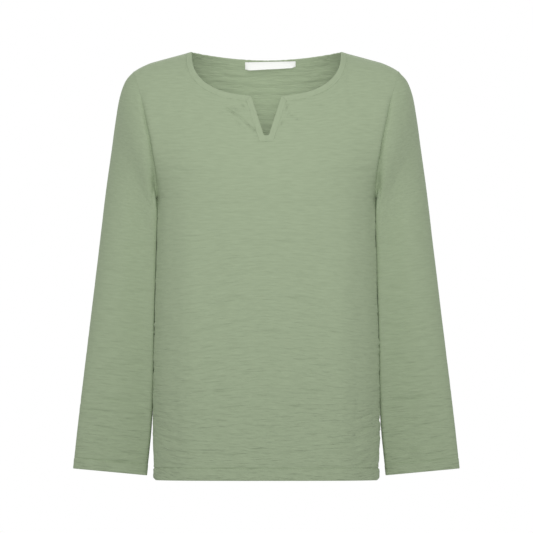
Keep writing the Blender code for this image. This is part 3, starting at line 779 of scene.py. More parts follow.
# Pulls beside the slit, on the wearer's right and left
SLIT_CREASES = {
    -1: (
        (0.0520, -0.0955, 0.0190, 33, 0.0024, -0.00070),
        (0.0280, -0.1150, 0.0170, 45, 0.0022, -0.00079),
        (0.0420, -0.1140, 0.0150, 42, 0.0026, -0.00040),
        (0.0465, -0.0915, 0.0100, 28, 0.0020, 0.00053),
        (0.0365, -0.0850, 0.0070, 60, 0.0020, -0.00062),
        (0.0190, -0.1240, 0.0080, 66, 0.0018, -0.00040),
        (0.0700, -0.0960, 0.0150, 24, 0.0030, -0.00035),
    ),
    1: (
        (0.0320, -0.0880, 0.0090, 75, 0.0018, -0.00075),
        (0.0350, -0.0970, 0.0080, 70, 0.0018, -0.00044),
        (0.0400, -0.1005, 0.0070, 0, 0.0016, -0.00044),
        (0.0480, -0.1065, 0.0080, -18, 0.0018, 0.00044),
        (0.0240, -0.1130, 0.0090, 66, 0.0018, -0.00057),
        (0.0850, -0.0845, 0.0090, -5, 0.0020, -0.00044),
    ),
}
BACK_CREASES = (
    (0.030, -0.045, 0.040, 6, 0.0040, -0.00075),
    (0.075, -0.040, 0.030, 14, 0.0038, -0.00065),
    (0.050, -0.070, 0.045, 10, 0.0042, -0.00075),
    (0.020, -0.095, 0.036, 2, 0.0036, -0.00060),
    (0.110, -0.062, 0.028, 18, 0.0040, 0.00070),
    (0.090, -0.100, 0.040, 12, 0.0055, -0.00055),
    (0.015, -0.060, 0.026, -3, 0.0034, -0.00065),
    (0.062, -0.055, 0.030, 9, 0.0034, -0.00060),
    (0.045, -0.033, 0.024, 8, 0.0032, -0.00058),
    (0.088, -0.030, 0.020, 16, 0.0032, -0.00060),
    (0.006, -0.080, 0.014, 4, 0.0030, -0.00050),
    (0.004, -0.110, 0.014, -5, 0.0034, -0.00036),
    (0.045, -0.128, 0.044, 5, 0.0055, -0.00050),
    (0.125, -0.120, 0.026, 4, 0.0040, -0.00060),
    (0.135, -0.150, 0.026, -4, 0.0040, -0.00065),
    (0.080, -0.165, 0.036, 3, 0.0060, -0.00050),
    (0.138, -0.182, 0.024, -10, 0.0040, -0.00060),
    (0.142, -0.215, 0.020, -16, 0.0038, -0.00050),
    (0.040, -0.235, 0.040, -4, 0.0060, -0.00055),
    (0.095, -0.270, 0.034, -12, 0.0046, -0.00060),
    (0.055, -0.318, 0.030, -10, 0.0040, -0.00055),
    (0.118, -0.352, 0.028, -16, 0.0040, -0.00060),
    (0.070, -0.388, 0.030, -12, 0.0040, -0.00060),
    (0.025, -0.410, 0.026, -4, 0.0038, -0.00050),
    (0.105, -0.446, 0.028, -14, 0.0040, -0.00065),
    (0.060, -0.492, 0.028, -8, 0.0038, -0.00060),
    (0.120, -0.532, 0.024, -6, 0.0036, -0.00060),
    (0.045, -0.560, 0.028, -5, 0.0036, -0.00055),
    (0.152, -0.585, 0.018, 22, 0.0034, -0.00075),
    (0.100, -0.604, 0.028, 2, 0.0036, -0.00060),
    (0.142, -0.620, 0.020, 14, 0.0034, -0.00080),
    (0.060, -0.630, 0.028, -2, 0.0034, -0.00055),
)
# On a sleeve, across runs from the middle of its front, and height is the length left to the cuff
SLEEVE_CREASES = (
    (0.000, 0.435, 0.026, 8, 0.0046, -0.00040),
    (0.050, 0.420, 0.022, 22, 0.0040, -0.00045),
    (-0.040, 0.400, 0.022, -14, 0.0040, -0.00040),
    (0.020, 0.360, 0.026, 10, 0.0050, -0.00040),
    (-0.030, 0.318, 0.026, -6, 0.0046, -0.00045),
    (0.025, 0.290, 0.024, 10, 0.0042, -0.00050),
    (-0.005, 0.255, 0.022, 3, 0.0040, -0.00045),
    (0.030, 0.232, 0.018, 12, 0.0036, -0.00055),
    (-0.012, 0.205, 0.022, -4, 0.0036, -0.00065),
    (0.014, 0.198, 0.014, 6, 0.0032, 0.00045),
    (0.026, 0.176, 0.018, 10, 0.0034, -0.00055),
    (-0.022, 0.158, 0.020, -7, 0.0036, -0.00060),
    (0.010, 0.148, 0.014, 8, 0.0030, -0.00045),
    (0.004, 0.117, 0.036, 1, 0.0034, -0.00085),
    (-0.026, 0.098, 0.018, -5, 0.0034, -0.00060),
    (0.024, 0.086, 0.020, 4, 0.0036, -0.00065),
    (-0.014, 0.072, 0.020, -6, 0.0034, -0.00075),
    (0.012, 0.061, 0.020, -4, 0.0032, -0.00065),
    (-0.028, 0.052, 0.016, -8, 0.0032, -0.00070),
    (-0.006, 0.040, 0.022, -7, 0.0034, -0.00085),
    (0.026, 0.035, 0.016, 4, 0.0032, -0.00070),
    (-0.024, 0.028, 0.018, -6, 0.0030, -0.00080),
    (0.014, 0.022, 0.016, 3, 0.0028, -0.00060),
)
PANEL_CREASES = {"front": FRONT_CREASES, "back": BACK_CREASES}
print("creases in front, behind and on a sleeve:", len(FRONT_CREASES), len(BACK_CREASES), len(SLEEVE_CREASES))

# %% Creases
CREASE_BOW = 0.5
CREASE_SCALE = 2.0


def creases(table, across, height):
    """Each is a bell curve across its width, times a flatter bell along its length, on a bowed line."""
    relief = np.zeros_like(height)
    for row in table:
        crease = dict(zip(CREASE_COLUMNS, row))
        tilt = np.radians(crease["slope"])
        x, z = across - crease["across"], height - crease["height"]
        along = (x * np.cos(tilt) + z * np.sin(tilt)) / crease["half_length"]
        aside = (z * np.cos(tilt) - x * np.sin(tilt)) / crease["width"] + CREASE_BOW * along**2
        relief += CREASE_SCALE * crease["stands_out"] * np.exp(-(aside**2) - along**4)
    return relief


deepest = CREASE_SCALE * min(row[-1] for row in FRONT_CREASES)
print(f"the deepest crease in front is {deepest * 1000:.1f} mm")

# %% [markdown]
# ## Hems and seams in relief
#
# A hem is turned up, so it stands out by a layer, with a groove where it is sewn, small ripples along
# the groove and an edge that rolls in. A seam draws the cloth in on its own line, and the cloth swells
# beside it. At the armhole a second, broader swell stands between the sleeve and the chest.

# %% Hems and seams
SEAM_ROLL = 0.0007
SEAM_WIDTH = 0.0022
SEAM_SPREAD = 0.028
SWELL = 0.0034
SWELL_WIDTH = 0.0050
SWELL_TOP = (-0.050, -0.095)
SWELL_FOOT = (0.018, 0.078)
HEM_STANDS = 0.0012
HEM_STEP_START = 0.0002
HEM_STEP_WIDTH = 0.0020
STITCH_GROOVE = 0.00085
STITCH_WIDTH = 0.0011
HEM_RIPPLE = 0.00012
RIPPLE_CELL = (0.0036, 0.030)
RIPPLE_REACH = 0.006
EDGE_ROLL = 0.0013
EDGE_ROLL_WIDTH = 0.0022


def hem_relief(from_edge, along, depth, seed):
    """A doubled band: raised below its stitches, grooved and rippled at them, and rolled in at its edge."""
    above = from_edge - depth
    raised = HEM_STANDS * ease((-above - HEM_STEP_START) / HEM_STEP_WIDTH)
    groove = STITCH_GROOVE * bell(above, STITCH_WIDTH)
    ripples = noise(along, from_edge, RIPPLE_CELL, seed + HEM_SEED) * bell(above, RIPPLE_REACH)
    roll = EDGE_ROLL * np.clip(1 - from_edge / EDGE_ROLL_WIDTH, 0, 1) ** 2
    return raised - groove + HEM_RIPPLE * ripples - roll


def seam_roll(distance):
    """Cloth swells beside a seam and is drawn in on it: 1 less a bell curve, fading out with distance."""
    return SEAM_ROLL * (1 - bell(distance, SEAM_WIDTH)) * np.exp(-distance / SEAM_SPREAD)


def armhole_roll(distance, z):
    """A seam's roll and a broader swell, from below the shoulder's tip to just above the underarm."""
    swell = SWELL * (1 - bell(distance, SWELL_WIDTH)) * np.exp(-distance / SEAM_SPREAD)
    return (seam_roll(distance) + swell) * fade(z, *SWELL_TOP) * fade(z - UNDERARM, *SWELL_FOOT)


def slit_distance(x, z):
    """Distance from the slit's sewn edge, seen from the front: sideways above its foot and down from it."""
    foot_z, foot_x, _, _ = slit_corners(SLIT_BINDING)
    half = foot_x + SLIT_LEAN * np.clip(z - foot_z, 0, None)
    return np.hypot(np.clip(x - half, 0, None), np.clip(foot_z - z, 0, None))


print(f"a hem stands out {HEM_STANDS * 1000:.1f} mm, and the cloth beside an armhole {SWELL * 1000:.1f} mm")

# %% [markdown]
# ## Relief of the panels
#
# All that stands out of a panel's surface adds up to one height for each point. Crinkle is strongest
# low on the body and near its sides. The armhole's seam puckers the cloth. All of it dies out towards
# the seams and the bindings, so that the pieces meet, and a shallow groove runs where the bindings are
# sewn on.

# %% Panel relief
CRINKLE_DOWN = {
    "height": (-0.670, -0.600, -0.480, -0.360, -0.250, -0.180, -0.100, 0.030),
    "front": (1.70, 1.60, 1.30, 1.00, 0.80, 0.55, 0.50, 0.50),
    "back": (1.70, 1.60, 1.35, 1.05, 0.90, 0.90, 1.20, 1.20),
}
CRINKLE_SIDEWAYS = 0.35
SIDEWAYS_FROM = (0.10, 0.18)
BILLOW_FADES = 0.030
PUCKER_HEIGHT = 0.00030
PUCKER_CELL = (0.050, 0.0052)
PUCKER_REACH = 0.016
PUCKER_LOWER = (UNDERARM, UNDERARM + 0.020)
PUCKER_UPPER = (-0.045, -0.095)
SIDE_SEAM_FROM = (UNDERARM - 0.004, UNDERARM - 0.024)
CALM_AT_SEAM = 0.010
CALM_AT_TOP = 0.008
CALM_AT_SLIT = 0.005
NECK_ENDS = (NECK_HALF_WIDTH + 0.002, NECK_HALF_WIDTH + 0.010)
SEWN_GROOVE = 0.0005
SEWN_PLACE = 0.0020
SEWN_WIDTH = 0.0012
HEM_AT_SEAM = 0.10
HEM_SEAM_FADES = 0.014


def sewn_groove(distance):
    """The shallow groove along a binding's edge."""
    return SEWN_GROOVE * bell(distance - SEWN_PLACE, SEWN_WIDTH)


def panel_relief(part, points, side):
    """Height of the cloth over a half panel; side is 1 for +X and -1 for -X."""
    across, up = panel_flat(points)
    from_seam = across[:, -1:] - across
    from_top = length_along(points[::-1], 0)[::-1]
    x, z = points[..., 0], points[..., 2]
    signed = side * across
    strength = smooth(CRINKLE_DOWN, part, z) * (1 + CRINKLE_SIDEWAYS * fade(across, *SIDEWAYS_FROM))
    relief = crinkle(signed, up, strength, SEEDS[part])
    relief += billow(signed, up, SEEDS[part]) * ease(from_seam / BILLOW_FADES)
    relief += creases(PANEL_CREASES[part], x, z)
    if part == "front":
        relief += creases(SLIT_CREASES[side], x, z)
    pucker = noise(from_seam, z, PUCKER_CELL, SEEDS[part] + PUCKER_SEED) * np.exp(-from_seam / PUCKER_REACH)
    relief += PUCKER_HEIGHT * pucker * fade(z, *PUCKER_LOWER) * fade(z, *PUCKER_UPPER)
    relief *= ease(from_seam / CALM_AT_SEAM)
    relief += np.where(z > UNDERARM, armhole_roll(from_seam, z), 0.0)
    relief += seam_roll(from_seam) * fade(z, *SIDE_SEAM_FROM)
    relief *= ease(from_top / CALM_AT_TOP)
    if part == "front":
        from_slit = slit_distance(x, z)
        relief *= ease(from_slit / CALM_AT_SLIT)
        relief -= sewn_groove(from_slit) * (from_top > SEWN_PLACE)
    relief -= sewn_groove(from_top) * (1 - fade(x, *NECK_ENDS))
    hem = hem_relief(z - HEM_LINE, signed, HEM_DEPTH, SEEDS[part])
    return relief + hem * (HEM_AT_SEAM + (1 - HEM_AT_SEAM) * ease(from_seam / HEM_SEAM_FADES))


relief = panel_relief("front", panels["front"], 1)
print(f"front relief from {relief.min() * 1000:.2f} to {relief.max() * 1000:.2f} mm")

# %% [markdown]
# ## From grids to meshes
#
# A grid becomes a mesh of quads: each point is a vertex, and each face joins four neighbours. The
# arrays go straight into the mesh with foreach_set. Two halves of a panel share their centre column, so
# their cloth is one piece, except above the foot of the slit. A Solidify modifier gives the wall.

# %% Mesh builders
def quads(index):
    """The four corners of each cell of a grid of vertex numbers."""
    corners = (index[:-1, :-1], index[:-1, 1:], index[1:, 1:], index[1:, :-1])
    return np.stack([c.ravel() for c in corners], axis=1)


def mesh_from(name, points, faces, flat, material):
    """A mesh object from points, faces of equal length, and the cloth coordinates of each face corner."""
    mesh = bpy.data.meshes.new(name)
    mesh.vertices.add(len(points))
    mesh.vertices.foreach_set("co", points.astype(np.float32).ravel())
    count, sides = faces.shape
    mesh.loops.add(count * sides)
    mesh.loops.foreach_set("vertex_index", faces.astype(np.int32).ravel())
    mesh.polygons.add(count)
    mesh.polygons.foreach_set("loop_start", np.arange(0, count * sides, sides, dtype=np.int32))
    mesh.update(calc_edges=True)
    mesh.uv_layers.new(name="flat_cloth").data.foreach_set("uv", flat.astype(np.float32).ravel())
    mesh.shade_smooth()
    mesh.materials.append(material)
    piece = bpy.data.objects.new(name, mesh)
    bpy.context.scene.collection.objects.link(piece)
    return piece


def faces_outward(points, faces, outward):
    """The faces, reversed where they turn against the outward directions of their first corners."""
    a, b, c = (points[faces[:, k]] for k in (0, 1, 2))
    agree = (np.cross(b - a, c - a) * outward[faces[:, 0]]).sum() > 0
    return faces if agree else faces[:, ::-1]


def add_wall(piece, thickness):
    """Thickness inwards from the modelled outside."""
    wall = piece.modifiers.new("wall", "SOLIDIFY")
    wall.thickness = thickness
    wall.offset = -1.0
    return piece


def cloth_area(points, closed=False):
    """Area of a grid's cells, each as half the cross product of its diagonals."""
    if closed:
        points = np.concatenate([points, points[:, :1]], axis=1)
    one = points[1:, 1:] - points[:-1, :-1]
    other = points[1:, :-1] - points[:-1, 1:]
    return float(np.linalg.norm(np.cross(one, other), axis=-1).sum() / 2)


print("mesh builders ready")

# %% [markdown]
# ## Patterns for the finish
#
# What is finer than the mesh is bump, made of a few patterns. They read the UV map, which is in metres,
# so each scale is one over a real size. Noise in long flat cells gives crinkle and uneven yarn, and two
# sine waves multiplied give a plain weave. The crinkle grows down the cloth, so its height is multiplied
# by a factor that depends on how far up the point is.

# %% Pattern nodes
def add_maths(tree, operation, *values):
    """A sum, product or sine of sockets and numbers."""
    return add_node(tree, "ShaderNodeMath", dict(enumerate(values)), operation=operation).outputs[0]


def add_noise(tree, vector, cell, detail):
    """Noise with long flat cells of a real size in metres, on the UV map."""
    scaled = add_node(tree, "ShaderNodeMapping", {"Vector": vector, "Scale": (1 / cell[0], 1 / cell[1], 1.0)})
    inputs = {"Vector": scaled.outputs[0], "Scale": 1.0, "Detail": detail}
    return add_node(tree, "ShaderNodeTexNoise", inputs).outputs["Fac"]


def add_weave(tree, vector, thread):
    """Plain weave: sine ridges along and across multiplied together, each thread this wide."""
    scale = (np.pi / thread, np.pi / thread, 1.0)
    scaled = add_node(tree, "ShaderNodeMapping", {"Vector": vector, "Scale": scale})
    parts = add_node(tree, "ShaderNodeSeparateXYZ", {0: scaled.outputs[0]})
    return add_maths(tree, "MULTIPLY", *(add_maths(tree, "SINE", parts.outputs[axis]) for axis in (0, 1)))


def add_bump(tree, height, distance, strength, below=None):
    """A bump of a real height, on top of the one below."""
    inputs = {"Height": height, "Distance": distance, "Strength": strength}
    if below is not None:
        inputs["Normal"] = below
    return add_node(tree, "ShaderNodeBump", inputs).outputs["Normal"]


def add_growth(tree, vector, height, calm):
    """The height times a factor that falls from 1 at the hem or cuff to a calmer value further up."""
    top, least = calm
    up = add_node(tree, "ShaderNodeSeparateXYZ", {0: vector}).outputs["Y"]
    inputs = {"Value": up, "From Min": 0.0, "From Max": top, "To Min": 1.0, "To Max": least}
    factor = add_node(tree, "ShaderNodeMapRange", inputs).outputs["Result"]
    return add_maths(tree, "MULTIPLY", height, factor)


print("pattern nodes ready")

# %% [markdown]
# ## Sharp creases beside the slit
#
# The pulls beside the slit are only a few tenths of a millimetre sharp, which is finer than the mesh.
# So they are modelled as soft troughs like the others, and drawn once more as bump: each is a dome on a
# long thin ellipse. A Mapping node in its texture mode turns and shrinks the cloth's coordinates until
# that ellipse is a unit circle, and a spherical gradient raises the dome in it.

# %% Fine creases
FINE_SPREAD = 1.5
FINE_DEPTH = 1.9


def beside_slit():
    """The slit's creases again in the front's cloth coordinates, a little wider, for the bump."""
    points = panels["front"]
    across, up = panel_flat(points)
    rows = []
    for side, table in SLIT_CREASES.items():
        for x, z, half_length, slope, width, stands_out in table:
            near = np.argmin((points[..., 0] - x) ** 2 + (points[..., 2] - z) ** 2)
            u = across.flat[near] + x - points[..., 0].flat[near]
            v = up.flat[near] + z - points[..., 2].flat[near]
            spread = (half_length * FINE_SPREAD, side * slope, width * FINE_SPREAD)
            rows.append((side * u, v, *spread, stands_out * FINE_DEPTH))
    return rows


def add_fine_creases(tree, vector, rows):
    """Sharp creases as one height: each is a dome on its own long ellipse, 1 less the distance, squared."""
    total = 0.0
    for across, up, half_length, slope, width, stands_out in rows:
        inputs = {
            "Vector": vector,
            "Location": (across, up, 0.0),
            "Rotation": (0.0, 0.0, np.radians(slope)),
            "Scale": (half_length, width, 1.0),
        }
        place = add_node(tree, "ShaderNodeMapping", inputs, vector_type="TEXTURE").outputs[0]
        dome = add_node(tree, "ShaderNodeTexGradient", {"Vector": place}, gradient_type="QUADRATIC_SPHERE")
        total = add_maths(tree, "MULTIPLY_ADD", dome.outputs["Fac"], stands_out, total)
    return total


slit_pulls = beside_slit()
print(len(slit_pulls), "fine creases beside the slit")

# %% [markdown]
# ## The cloth's finish
#
# Crinkled cotton is matt, with a faint sheen of fibres at grazing angles. The colour varies by a few
# per cent, in streaks along the threads: partly the yarn's own uneven tone, partly painted shade of the
# fine crinkles. The bump adds the small crinkle between the modelled ones, slubs in the yarn, and the
# plain weave of threads half a millimetre wide. The sleeves' green is a shade deeper than the body's,
# which is painted shade for the dimmer light on the sleeves, and the doubled cloth of the bindings is a
# shade lighter.

# %% Cloth materials
PANEL_GREENS = ((0.366, 0.443, 0.294, 1.0), (0.326, 0.396, 0.261, 1.0))
# A shade deeper than the panels' greens: painted shade for the dimmer light on the sleeves
SLEEVE_SHADED_GREENS = ((0.357, 0.434, 0.286, 1.0), (0.318, 0.388, 0.254, 1.0))
BINDING_GREENS = ((0.370, 0.447, 0.298, 1.0), (0.340, 0.411, 0.273, 1.0))
CALM = {"front": (0.46, 0.24), "back": (0.46, 0.60), "sleeves": (0.30, 0.24), "bindings": (0.46, 0.50)}
FULL_CRINKLE = 1.0
BINDING_CRINKLE = 0.25
# Colour streaks between two greens: partly the yarn's uneven tone, partly painted shade of the fine crinkles
YARN_AND_CRINKLE_SHADE_CELL = (0.020, 0.0026)
YARN_AND_CRINKLE_SHADE_CONTRAST = (0.28, 0.72)
BROAD_CELL = (0.036, 0.0056)
BROAD_CRINKLE = 0.0036
FINE_CELL = (0.0175, 0.0025)
FINE_CRINKLE = 0.0016
SLUB_CELL = (0.0050, 0.0007)
SLUB_HEIGHT = 0.00012
THREAD_WIDTH = 0.00055
WEAVE_HEIGHT = 0.00006
SHEEN_TINT = (0.80, 0.92, 0.72, 1.0)


def new_material(name, roughness):
    """A material with this roughness, its node tree and its shader."""
    material = bpy.data.materials.new(name)
    material.use_nodes = True
    shader = material.node_tree.nodes["Principled BSDF"]
    shader.inputs["Roughness"].default_value = roughness
    return material, material.node_tree, shader


def cloth_material(name, greens, crinkle_strength, calm, fine_creases=()):
    """Matt cotton with a colour between two greens, and bump for crinkle, slub and weave."""
    material, tree, shader = new_material(name, roughness=0.88)
    shader.inputs["Specular IOR Level"].default_value = 0.25
    shader.inputs["Sheen Weight"].default_value = 0.12
    shader.inputs["Sheen Roughness"].default_value = 0.45
    shader.inputs["Sheen Tint"].default_value = SHEEN_TINT
    vector = add_node(tree, "ShaderNodeTexCoord", {}).outputs["UV"]
    # Base colour in streaks: the yarn's own tone plus painted shade of the crinkles
    yarn_and_crinkle_shade = add_node(tree, "ShaderNodeValToRGB", {"Fac": add_noise(tree, vector, YARN_AND_CRINKLE_SHADE_CELL, detail=4.0)})
    for element, place, green in zip(yarn_and_crinkle_shade.color_ramp.elements, YARN_AND_CRINKLE_SHADE_CONTRAST, reversed(greens)):
        element.position = place
        element.color = green
    tree.links.new(yarn_and_crinkle_shade.outputs["Color"], shader.inputs["Base Color"])
    broad = add_growth(tree, vector, add_noise(tree, vector, BROAD_CELL, detail=2.0), calm)
    fine = add_growth(tree, vector, add_noise(tree, vector, FINE_CELL, detail=3.0), calm)
    slub = add_noise(tree, vector, SLUB_CELL, detail=1.0)
    weave = add_weave(tree, vector, THREAD_WIDTH)
    normal = add_bump(tree, broad, BROAD_CRINKLE, crinkle_strength)
    normal = add_bump(tree, fine, FINE_CRINKLE, crinkle_strength, below=normal)
    normal = add_bump(tree, slub, SLUB_HEIGHT, strength=0.6, below=normal)
    normal = add_bump(tree, weave, WEAVE_HEIGHT, strength=0.5, below=normal)
    if fine_creases:
        sharp = add_fine_creases(tree, vector, fine_creases)
        normal = add_bump(tree, sharp, distance=1.0, strength=1.0, below=normal)
    tree.links.new(normal, shader.inputs["Normal"])
    return material


panel_cotton = {
    "front": cloth_material("front_cotton", PANEL_GREENS, FULL_CRINKLE, CALM["front"], slit_pulls),
    "back": cloth_material("back_cotton", PANEL_GREENS, FULL_CRINKLE, CALM["back"]),
}
# The sleeves' cotton, made darker than the body's by painted shade
sleeve_cotton_painted_shade = cloth_material("sleeve_cotton_painted_shade", SLEEVE_SHADED_GREENS, FULL_CRINKLE, CALM["sleeves"])
binding_cotton = cloth_material("binding_cotton", BINDING_GREENS, BINDING_CRINKLE, CALM["bindings"])
print("cloth materials ready")

# %% [markdown]
# ## Front and back
#
# Each panel is two halves. The half on -X is the mirror image of the other in shape, with its own
# crinkle. In front the two share vertices only up to the foot of the slit. The hem's corners lift by a
# couple of millimetres where the side seam draws them up.

# %% Panels
CORNER_LIFT = 0.0022
CORNER_ACROSS = (0.1722, 0.1757)
CORNER_UP = (HEM_LINE + 0.020, HEM_LINE)


def panel_half(part, side):
    """Points and cloth coordinates of one half, crinkled and placed."""
    base = panels[part]
    normals = grid_normals(base, (0, OUTWARD[part], 0))
    normals[base[:, 0, 0] == 0, 0, 0] = 0.0
    points = base + unit(normals) * panel_relief(part, base, side)[..., None]
    points[..., 2] += CORNER_LIFT * fade(base[..., 0], *CORNER_ACROSS) * fade(base[..., 2], *CORNER_UP)
    across, up = panel_flat(base)
    return points * (side, 1, 1), np.stack([side * across, up], axis=-1)


def panel_piece(part, name):
    """Both halves as one mesh that shares the centre column wherever x is 0."""
    rows, columns = panels[part].shape[:2]
    index = np.arange(rows * columns).reshape(rows, columns)
    other = index + rows * columns
    joined = panels[part][:, 0, 0] == 0
    other[joined, 0] = index[joined, 0]
    halves = [panel_half(part, side) for side in (1, -1)]
    points = np.concatenate([half[0].reshape(-1, 3) for half in halves])
    flat = np.concatenate([half[1].reshape(-1, 2) for half in halves])
    outward = np.tile(np.array([0.0, OUTWARD[part], 0.0]), (len(points), 1))
    faces = np.concatenate([faces_outward(points, quads(grid), outward) for grid in (index, other)])
    used, renumbered = np.unique(faces, return_inverse=True)
    piece = mesh_from(name, points[used], renumbered.reshape(-1, 4), flat[faces.ravel()], panel_cotton[part])
    across, up = panel_flat(panels[part])
    return add_wall(piece, WALL)


front_cloth = panel_piece("front", "front_cloth")
back_cloth = panel_piece("back", "back_cloth")

# %% [markdown]
# ## Sleeves
#
# A sleeve's cloth runs round it from the underarm seam, so across is the distance round the ring and up
# is the length left to the cuff. The upper sleeve is nearly smooth, the crinkle grows down the arm, and
# it is strongest above the cuff's hem. Puckers spread from the armhole seam. At the two edges that the
# picture shows as the sleeve's outline, crinkle and hem are calmer, as they are on the real one.

# %% Sleeve relief
SLEEVE_CRINKLE = {
    "height": (0.00, 0.06, 0.14, 0.24, 0.34, 0.44, 0.56),
    "strength": (1.90, 2.00, 1.70, 1.20, 0.60, 0.40, 0.40),
}
FRONT_OF_RING = 0.75
EDGE_CALM = 0.75
CRINKLE_EDGE = 4
HEM_EDGE = 8
SLEEVE_SHIFT = {"sleeve_left": 0.0, "sleeve_right": 0.004}
HIGH_FROM = -0.080
HIGH_REACH = 0.030


def sleeve_flat():
    """Running length round each ring, back to its start, and the length left to the cuff."""
    closed = np.concatenate([rings, rings[:, :1]], axis=1)
    return length_along(closed, 1), length_along(closed[::-1], 0)[::-1]


def sleeve_relief(side_name):
    """Height of the cloth over the rings."""
    around, to_cuff = sleeve_flat()
    girth = around[:, -1:]
    around, to_cuff = around[:, :-1], to_cuff[:, :-1]
    seed = SEEDS[side_name]
    relief = crinkle(around, to_cuff, smooth(SLEEVE_CRINKLE, "strength", to_cuff), seed)
    relief += billow(around, to_cuff, seed)
    relief *= 1 - EDGE_CALM * np.cos(RING_TURN) ** CRINKLE_EDGE
    height = to_cuff + SLEEVE_SHIFT[side_name]
    for share, mirror in ((FRONT_OF_RING, 1), (1 - FRONT_OF_RING, -1)):
        relief += creases(SLEEVE_CREASES, mirror * (around - girth * share), height)
    from_seam = np.minimum(around, girth - around)
    relief *= ease(from_seam / CALM_AT_SEAM)
    relief += seam_roll(from_seam)
    from_armhole = length_along(rings, 0)
    high = np.clip((rings[..., 2] - HIGH_FROM) / HIGH_REACH, 0, 1)
    pucker = noise(around, from_armhole, PUCKER_CELL[::-1], seed + PUCKER_SEED)
    relief += PUCKER_HEIGHT * (1 + high) * pucker * np.exp(-from_armhole / PUCKER_REACH)
    relief *= ease(from_armhole / CALM_AT_SEAM)
    relief += armhole_roll(from_armhole, rings[:1, :, 2])
    hem = hem_relief(to_cuff, around, CUFF_HEM_DEPTH, seed)
    return relief + hem * (1 - EDGE_CALM * np.cos(RING_TURN) ** HEM_EDGE)


sleeve_normals = ring_normals(rings)
sleeve_skins = {
    side_name: rings + sleeve_normals * sleeve_relief(side_name)[..., None]
    for side_name in ("sleeve_left", "sleeve_right")
}
print("sleeve skins:", ", ".join(sleeve_skins))

# %% Sleeve pieces
def sleeve_piece(side_name, side):
    """One sleeve: a closed tube of rings, whose UV map is cut open at the underarm seam."""
    name = side_name + "_cloth"
    points = (sleeve_skins[side_name] * (side, 1, 1)).reshape(-1, 3)
    outward = (sleeve_normals * (side, 1, 1)).reshape(-1, 3)
    index = np.arange(len(points)).reshape(rings.shape[:2])
    closed = np.concatenate([index, index[:, :1]], axis=1)
    around, to_cuff = sleeve_flat()
    flat = np.stack([side * around, to_cuff], axis=-1).reshape(-1, 2)
    corners = quads(np.arange(closed.size).reshape(closed.shape))
    faces = closed.ravel()[corners]
    turned = faces_outward(points, faces, outward)
    if turned is not faces:
        corners = corners[:, ::-1]
    piece = mesh_from(name, points, turned, flat[corners.ravel()], sleeve_cotton_painted_shade)
    return add_wall(piece, WALL)


sleeve_left_cloth = sleeve_piece("sleeve_left", 1)
sleeve_right_cloth = sleeve_piece("sleeve_right", -1)

# %% [markdown]
# ## Bindings
#
# A binding is a narrow strip folded over the cut edge and sewn down: rounded where it folds, a little
# proud of the cloth, with a row of stitches near its sewn edge. Its cross-section is a flat closed
# loop. Carried along the neckline it becomes a tube that wraps the edge and laps over the panel by a
# millimetre. The corners at the top of the slit and the slit's foot are rounded by a quadratic curve
# between points a few millimetres either side.

# %% Binding paths
CORNER_ROUND = 0.0042
SEWN_CORNER = 0.5
FOOT_ROUND = 0.0028
LAP = 0.0012
FOOT_POINTS = 14
SLIT_POINTS = FOOT_POINTS + 90
NECK_POINTS = 150
NECK_POINTS_CROWDING = -0.30
BACK_POINTS = 90


def rounded(line, corner, reach):
    """The line with a corner smoothed: a quadratic curve from reach before it to reach after it."""
    run = length_along(line, 0)
    near = np.abs(run - run[corner]) < reach
    t = ((run[near] - run[corner] + reach) / (2 * reach))[:, None]
    before, after = (
        np.array([np.interp(run[corner] + way * reach, run, line[:, k]) for k in (0, 1)]) for way in (-1, 1)
    )
    out = line.copy()
    out[near] = (1 - t) ** 2 * before + 2 * t * (1 - t) * line[corner] + t**2 * after
    return out


def slit_and_neck(share):
    """x and z from the slit's foot up its side and out to the shoulder; share 1 is the sewn edge."""
    foot_z, foot_x, corner_x, corner_z = slit_corners(SLIT_BINDING * share)
    foot = np.linspace((0, foot_z), (foot_x, foot_z), FOOT_POINTS + 1)
    side = np.linspace((foot_x, foot_z), (corner_x, corner_z), SLIT_POINTS - FOOT_POINTS + 1)
    neck = np.stack(neck_edge("front", BINDING * share, NECK_POINTS, NECK_POINTS_CROWDING), axis=1)
    line = np.concatenate([foot, side[1:], neck[1:]])
    line = rounded(line, SLIT_POINTS, CORNER_ROUND * (1 - SEWN_CORNER * share))
    return rounded(line, FOOT_POINTS, FOOT_ROUND)


print("slit and neckline path of", len(slit_and_neck(0.0)), "points")

# %% [markdown]
# The section is a loop of points given by two numbers each: how far from the free edge towards the sewn
# edge, and how far above the middle of the strip. The fold at the free edge is a half circle, and the
# top sinks where the stitches draw it down. One run of sections serves both bindings. It is cut at the
# slit's corner, where the two strips meet in a mitre.

# %% Binding section
BINDING_WALL = 0.0018
STITCH_SHARE = 0.78
SECTION_TOP = 12
FOLD_TURNS = 8
SINK_DEPTH = 0.00022
SINK_WIDTH = 0.0009
SEWN_EDGE_SOFT = 0.0010
SEWN_EDGE_HEIGHT = 0.20
NORMAL_PASSES = 8
BINDING_WAVE = 0.00036
WAVE_CELL = (0.0042, 1.0)
WAVE_SEED = 51


def section(width):
    """Across, as a share of the width, and height: in over the top, round the fold and back out beneath."""
    half = BINDING_WALL / 2
    end = (width + LAP) / width
    across = np.linspace(end, half / width, SECTION_TOP)
    soft = ease((end - across) * width / SEWN_EDGE_SOFT)
    top = half * (SEWN_EDGE_HEIGHT + (1 - SEWN_EDGE_HEIGHT) * soft)
    top = top - SINK_DEPTH * bell((across - STITCH_SHARE) * width, SINK_WIDTH)
    turn = np.linspace(0, np.pi, FOLD_TURNS)[1:-1]
    fold_across = (half - half * np.sin(turn)) / width
    share = np.concatenate([across, fold_across, across[::-1]])
    return share, np.concatenate([top, half * np.cos(turn), np.full(SECTION_TOP, -half)])


